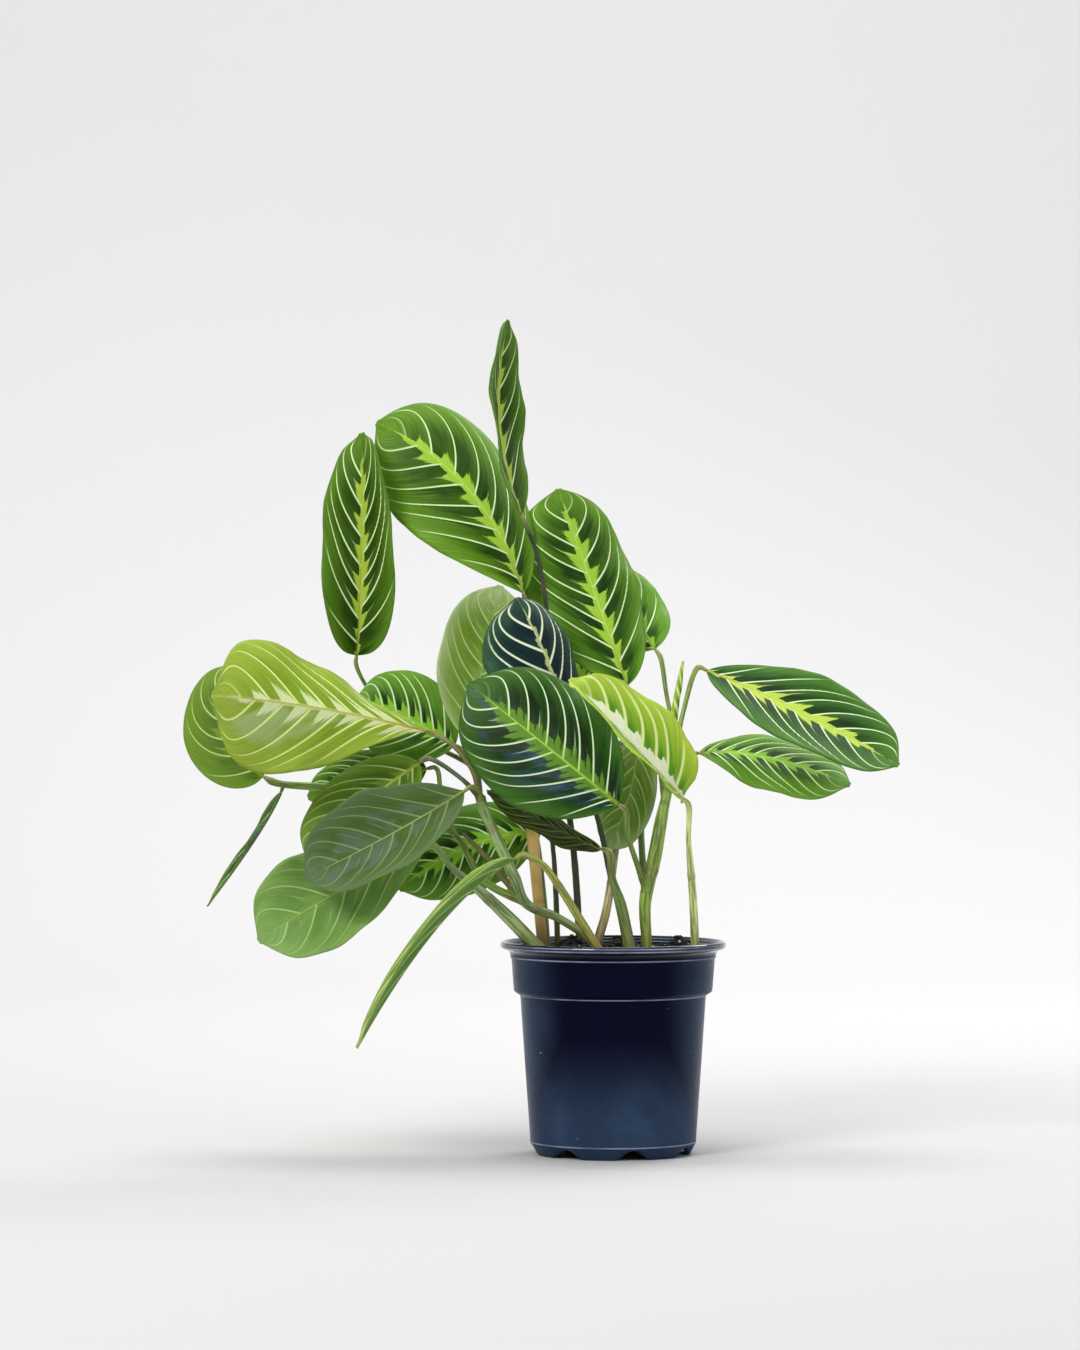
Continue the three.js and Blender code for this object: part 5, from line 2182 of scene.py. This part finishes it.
# Its whitish margin colour, laid over the tip and the edges, is painted sheen.
PALE_LOWER = replace(
    GREEN_LOWER, name="leaf_pale_lower", dark=(92, 132, 30), mid=(134, 170, 58), warm=(134, 168, 52),
    margin=(196, 214, 160), lobe=(142, 174, 84), vein=(202, 224, 148), rib=(170, 196, 112),
)

# The underside beneath the front leaf lies in shadow; the dark colours of this finish are painted shade.
PAINTED_SHADE_LOWER = replace(
    GREEN_LOWER, name="leaf_olive_lower", dark=(16, 24, 6), mid=(54, 66, 20), warm=(58, 66, 18),
    margin=(88, 102, 40), lobe=(70, 82, 28), vein=(140, 156, 84), rib=(110, 118, 60),
)

STALK = StalkFinish(
    "stalk_green", base=(150, 132, 62), neck=(156, 162, 74), scar=(104, 70, 38), dull=(50, 64, 20),
)

BAMBOO = CaneFinish("bamboo_skin", light=(238, 202, 124), deep=(196, 150, 80))
# The pot's bluish lower wall and sides and its light edge lines are painted reflection and painted highlights.
PLASTIC = PotFinish(
    "pot_navy", body=(5, 5, 26), painted_reflection=(54, 74, 100), painted_highlight=(150, 160, 190),
    highlight_heights=(7.8, 98.4, 122.1, 128.2, 130.0),
)
EARTH = GrainFinish("soil_dark", light=(26, 22, 20), deep=(2, 2, 3))
BARK = GrainFinish("soil_bark", light=(98, 66, 42), deep=(40, 25, 17), scale=180.0, rough=0.85)
PERLITE = GrainFinish("soil_perlite", light=(236, 234, 226), deep=(196, 192, 180), rough=0.9, grain_mm=0.3)


@dataclass(frozen=True)
class Look:
    """How one leaf differs from a usual one.

    Args:
        upper: Finish of its upper face.
        lower: Finish of its lower face.
        slot: The record slot; not used.
        veins: Number of main veins on each side.
        lobes: Size of the lobes along the rib, 1 being usual.
        puff_mm: Height that the blade swells to between its veins.
        sweep: How far forward a vein runs on its way to the margin, as a share of the rib.
    """

    upper: LeafFinish = GREEN_UPPER
    lower: LeafFinish = GREEN_LOWER
    slot: Slot = Slot.GREEN
    veins: float = 8
    lobes: float = 1.0
    puff_mm: float = 0.8
    sweep: float = 0.54


LOOKS = {
    "crown": Look(DEEP_UPPER, veins=6, lobes=0.8),
    "far_left": Look(DEEP_UPPER, lobes=0.72),
    "upper_right": Look(BRIGHT_UPPER, veins=5),
    "mid_left": Look(BRIGHT_UPPER),
    "inner_left": Look(BRIGHT_UPPER),
    "low_left": Look(PAINTED_LIGHT_UPPER, veins=6, lobes=0.7),
    "right": Look(TEAL_UPPER),
    "lower_left": Look(PAINTED_LIGHT_UPPER, lobes=0.8),
    "right_low": Look(BRIGHT_UPPER, lobes=0.7),
    "young_left": Look(LIME_UPPER, PALE_LOWER, Slot.YOUNG),
    "young_front": Look(BANDED_UPPER, PALE_LOWER, Slot.YOUNG),
    "front": Look(DARK_UPPER, slot=Slot.DARK, veins=9),
    "inner_dark": Look(NIGHT_UPPER, slot=Slot.DARK, veins=6, lobes=0.35, sweep=0.85),
    "turned_mid": Look(lower=PALE_LOWER),
    "inner_low": Look(lower=PALE_LOWER, veins=6),
    "turned_left": Look(lower=GREY_LOWER),
    "drooping_left": Look(veins=6, puff_mm=2.0),
    "hanging_left": Look(DEEP_UPPER, GREY_LOWER, veins=4, lobes=0.3),
    "hanging_front": Look(STRIPED_UPPER, veins=5, lobes=0.0),
    "under_front": Look(lower=PAINTED_SHADE_LOWER),
}


@dataclass
class Plant:
    """The whole dressed plant.

    Args:
        materials: Every material by its finish's name.
    """

    materials: dict = field(default_factory=dict)

    def dress(self) -> None:
        """Makes every material once."""
        marks, dust = LeafMarks().build(), dust_group()
        looks = [Look(), *LOOKS.values()]
        for finish in {face.name: face for look in looks for face in (look.upper, look.lower)}.values():
            self.materials[finish.name] = finish.build(marks)
        self.materials[PLASTIC.name] = PLASTIC.build(dust)
        for finish in (STALK, BAMBOO, EARTH, BARK, PERLITE):
            self.materials[finish.name] = finish.build()

    def build_leaves(self) -> list:
        """Builds every blade with the look of its age.

        Returns:
            The blades.
        """
        blades = []
        for number, (name, form) in enumerate(LEAVES.items()):
            look = LOOKS.get(name, Look())
            upper, lower = self.materials[look.upper.name], self.materials[look.lower.name]
            tint = (0.37 + 0.61803 * number) % 1
            blades.append(Leaf(f"leaf_{name}", form, look, upper, lower, tint).build())
        return blades

    def build(self) -> list:
        """Builds every piece of the plant.

        Returns:
            The objects.
        """
        self.dress()
        material = self.materials
        pieces = [Pot(material[PLASTIC.name]).build()]
        pieces += Soil(material[EARTH.name], material[BARK.name], material[PERLITE.name]).build()
        pieces.append(Cane(material[BAMBOO.name]).build())
        pieces += [Stem(node, branches, material[STALK.name]).build() for node, branches in STEMS.items()]
        pieces.append(Spear(material[BANDED_UPPER.name]).build())
        return pieces + self.build_leaves()


def main() -> None:
    """Builds camera, plant and studio in order and reports each piece."""
    logging.basicConfig(level=logging.INFO)
    studio = Studio()
    studio.build_camera()
    for piece in [*Plant().build(), studio.build()]:
        LOG.info("%s has %d faces", piece.name, len(piece.data.polygons))


if __name__ == "__main__":
    main()
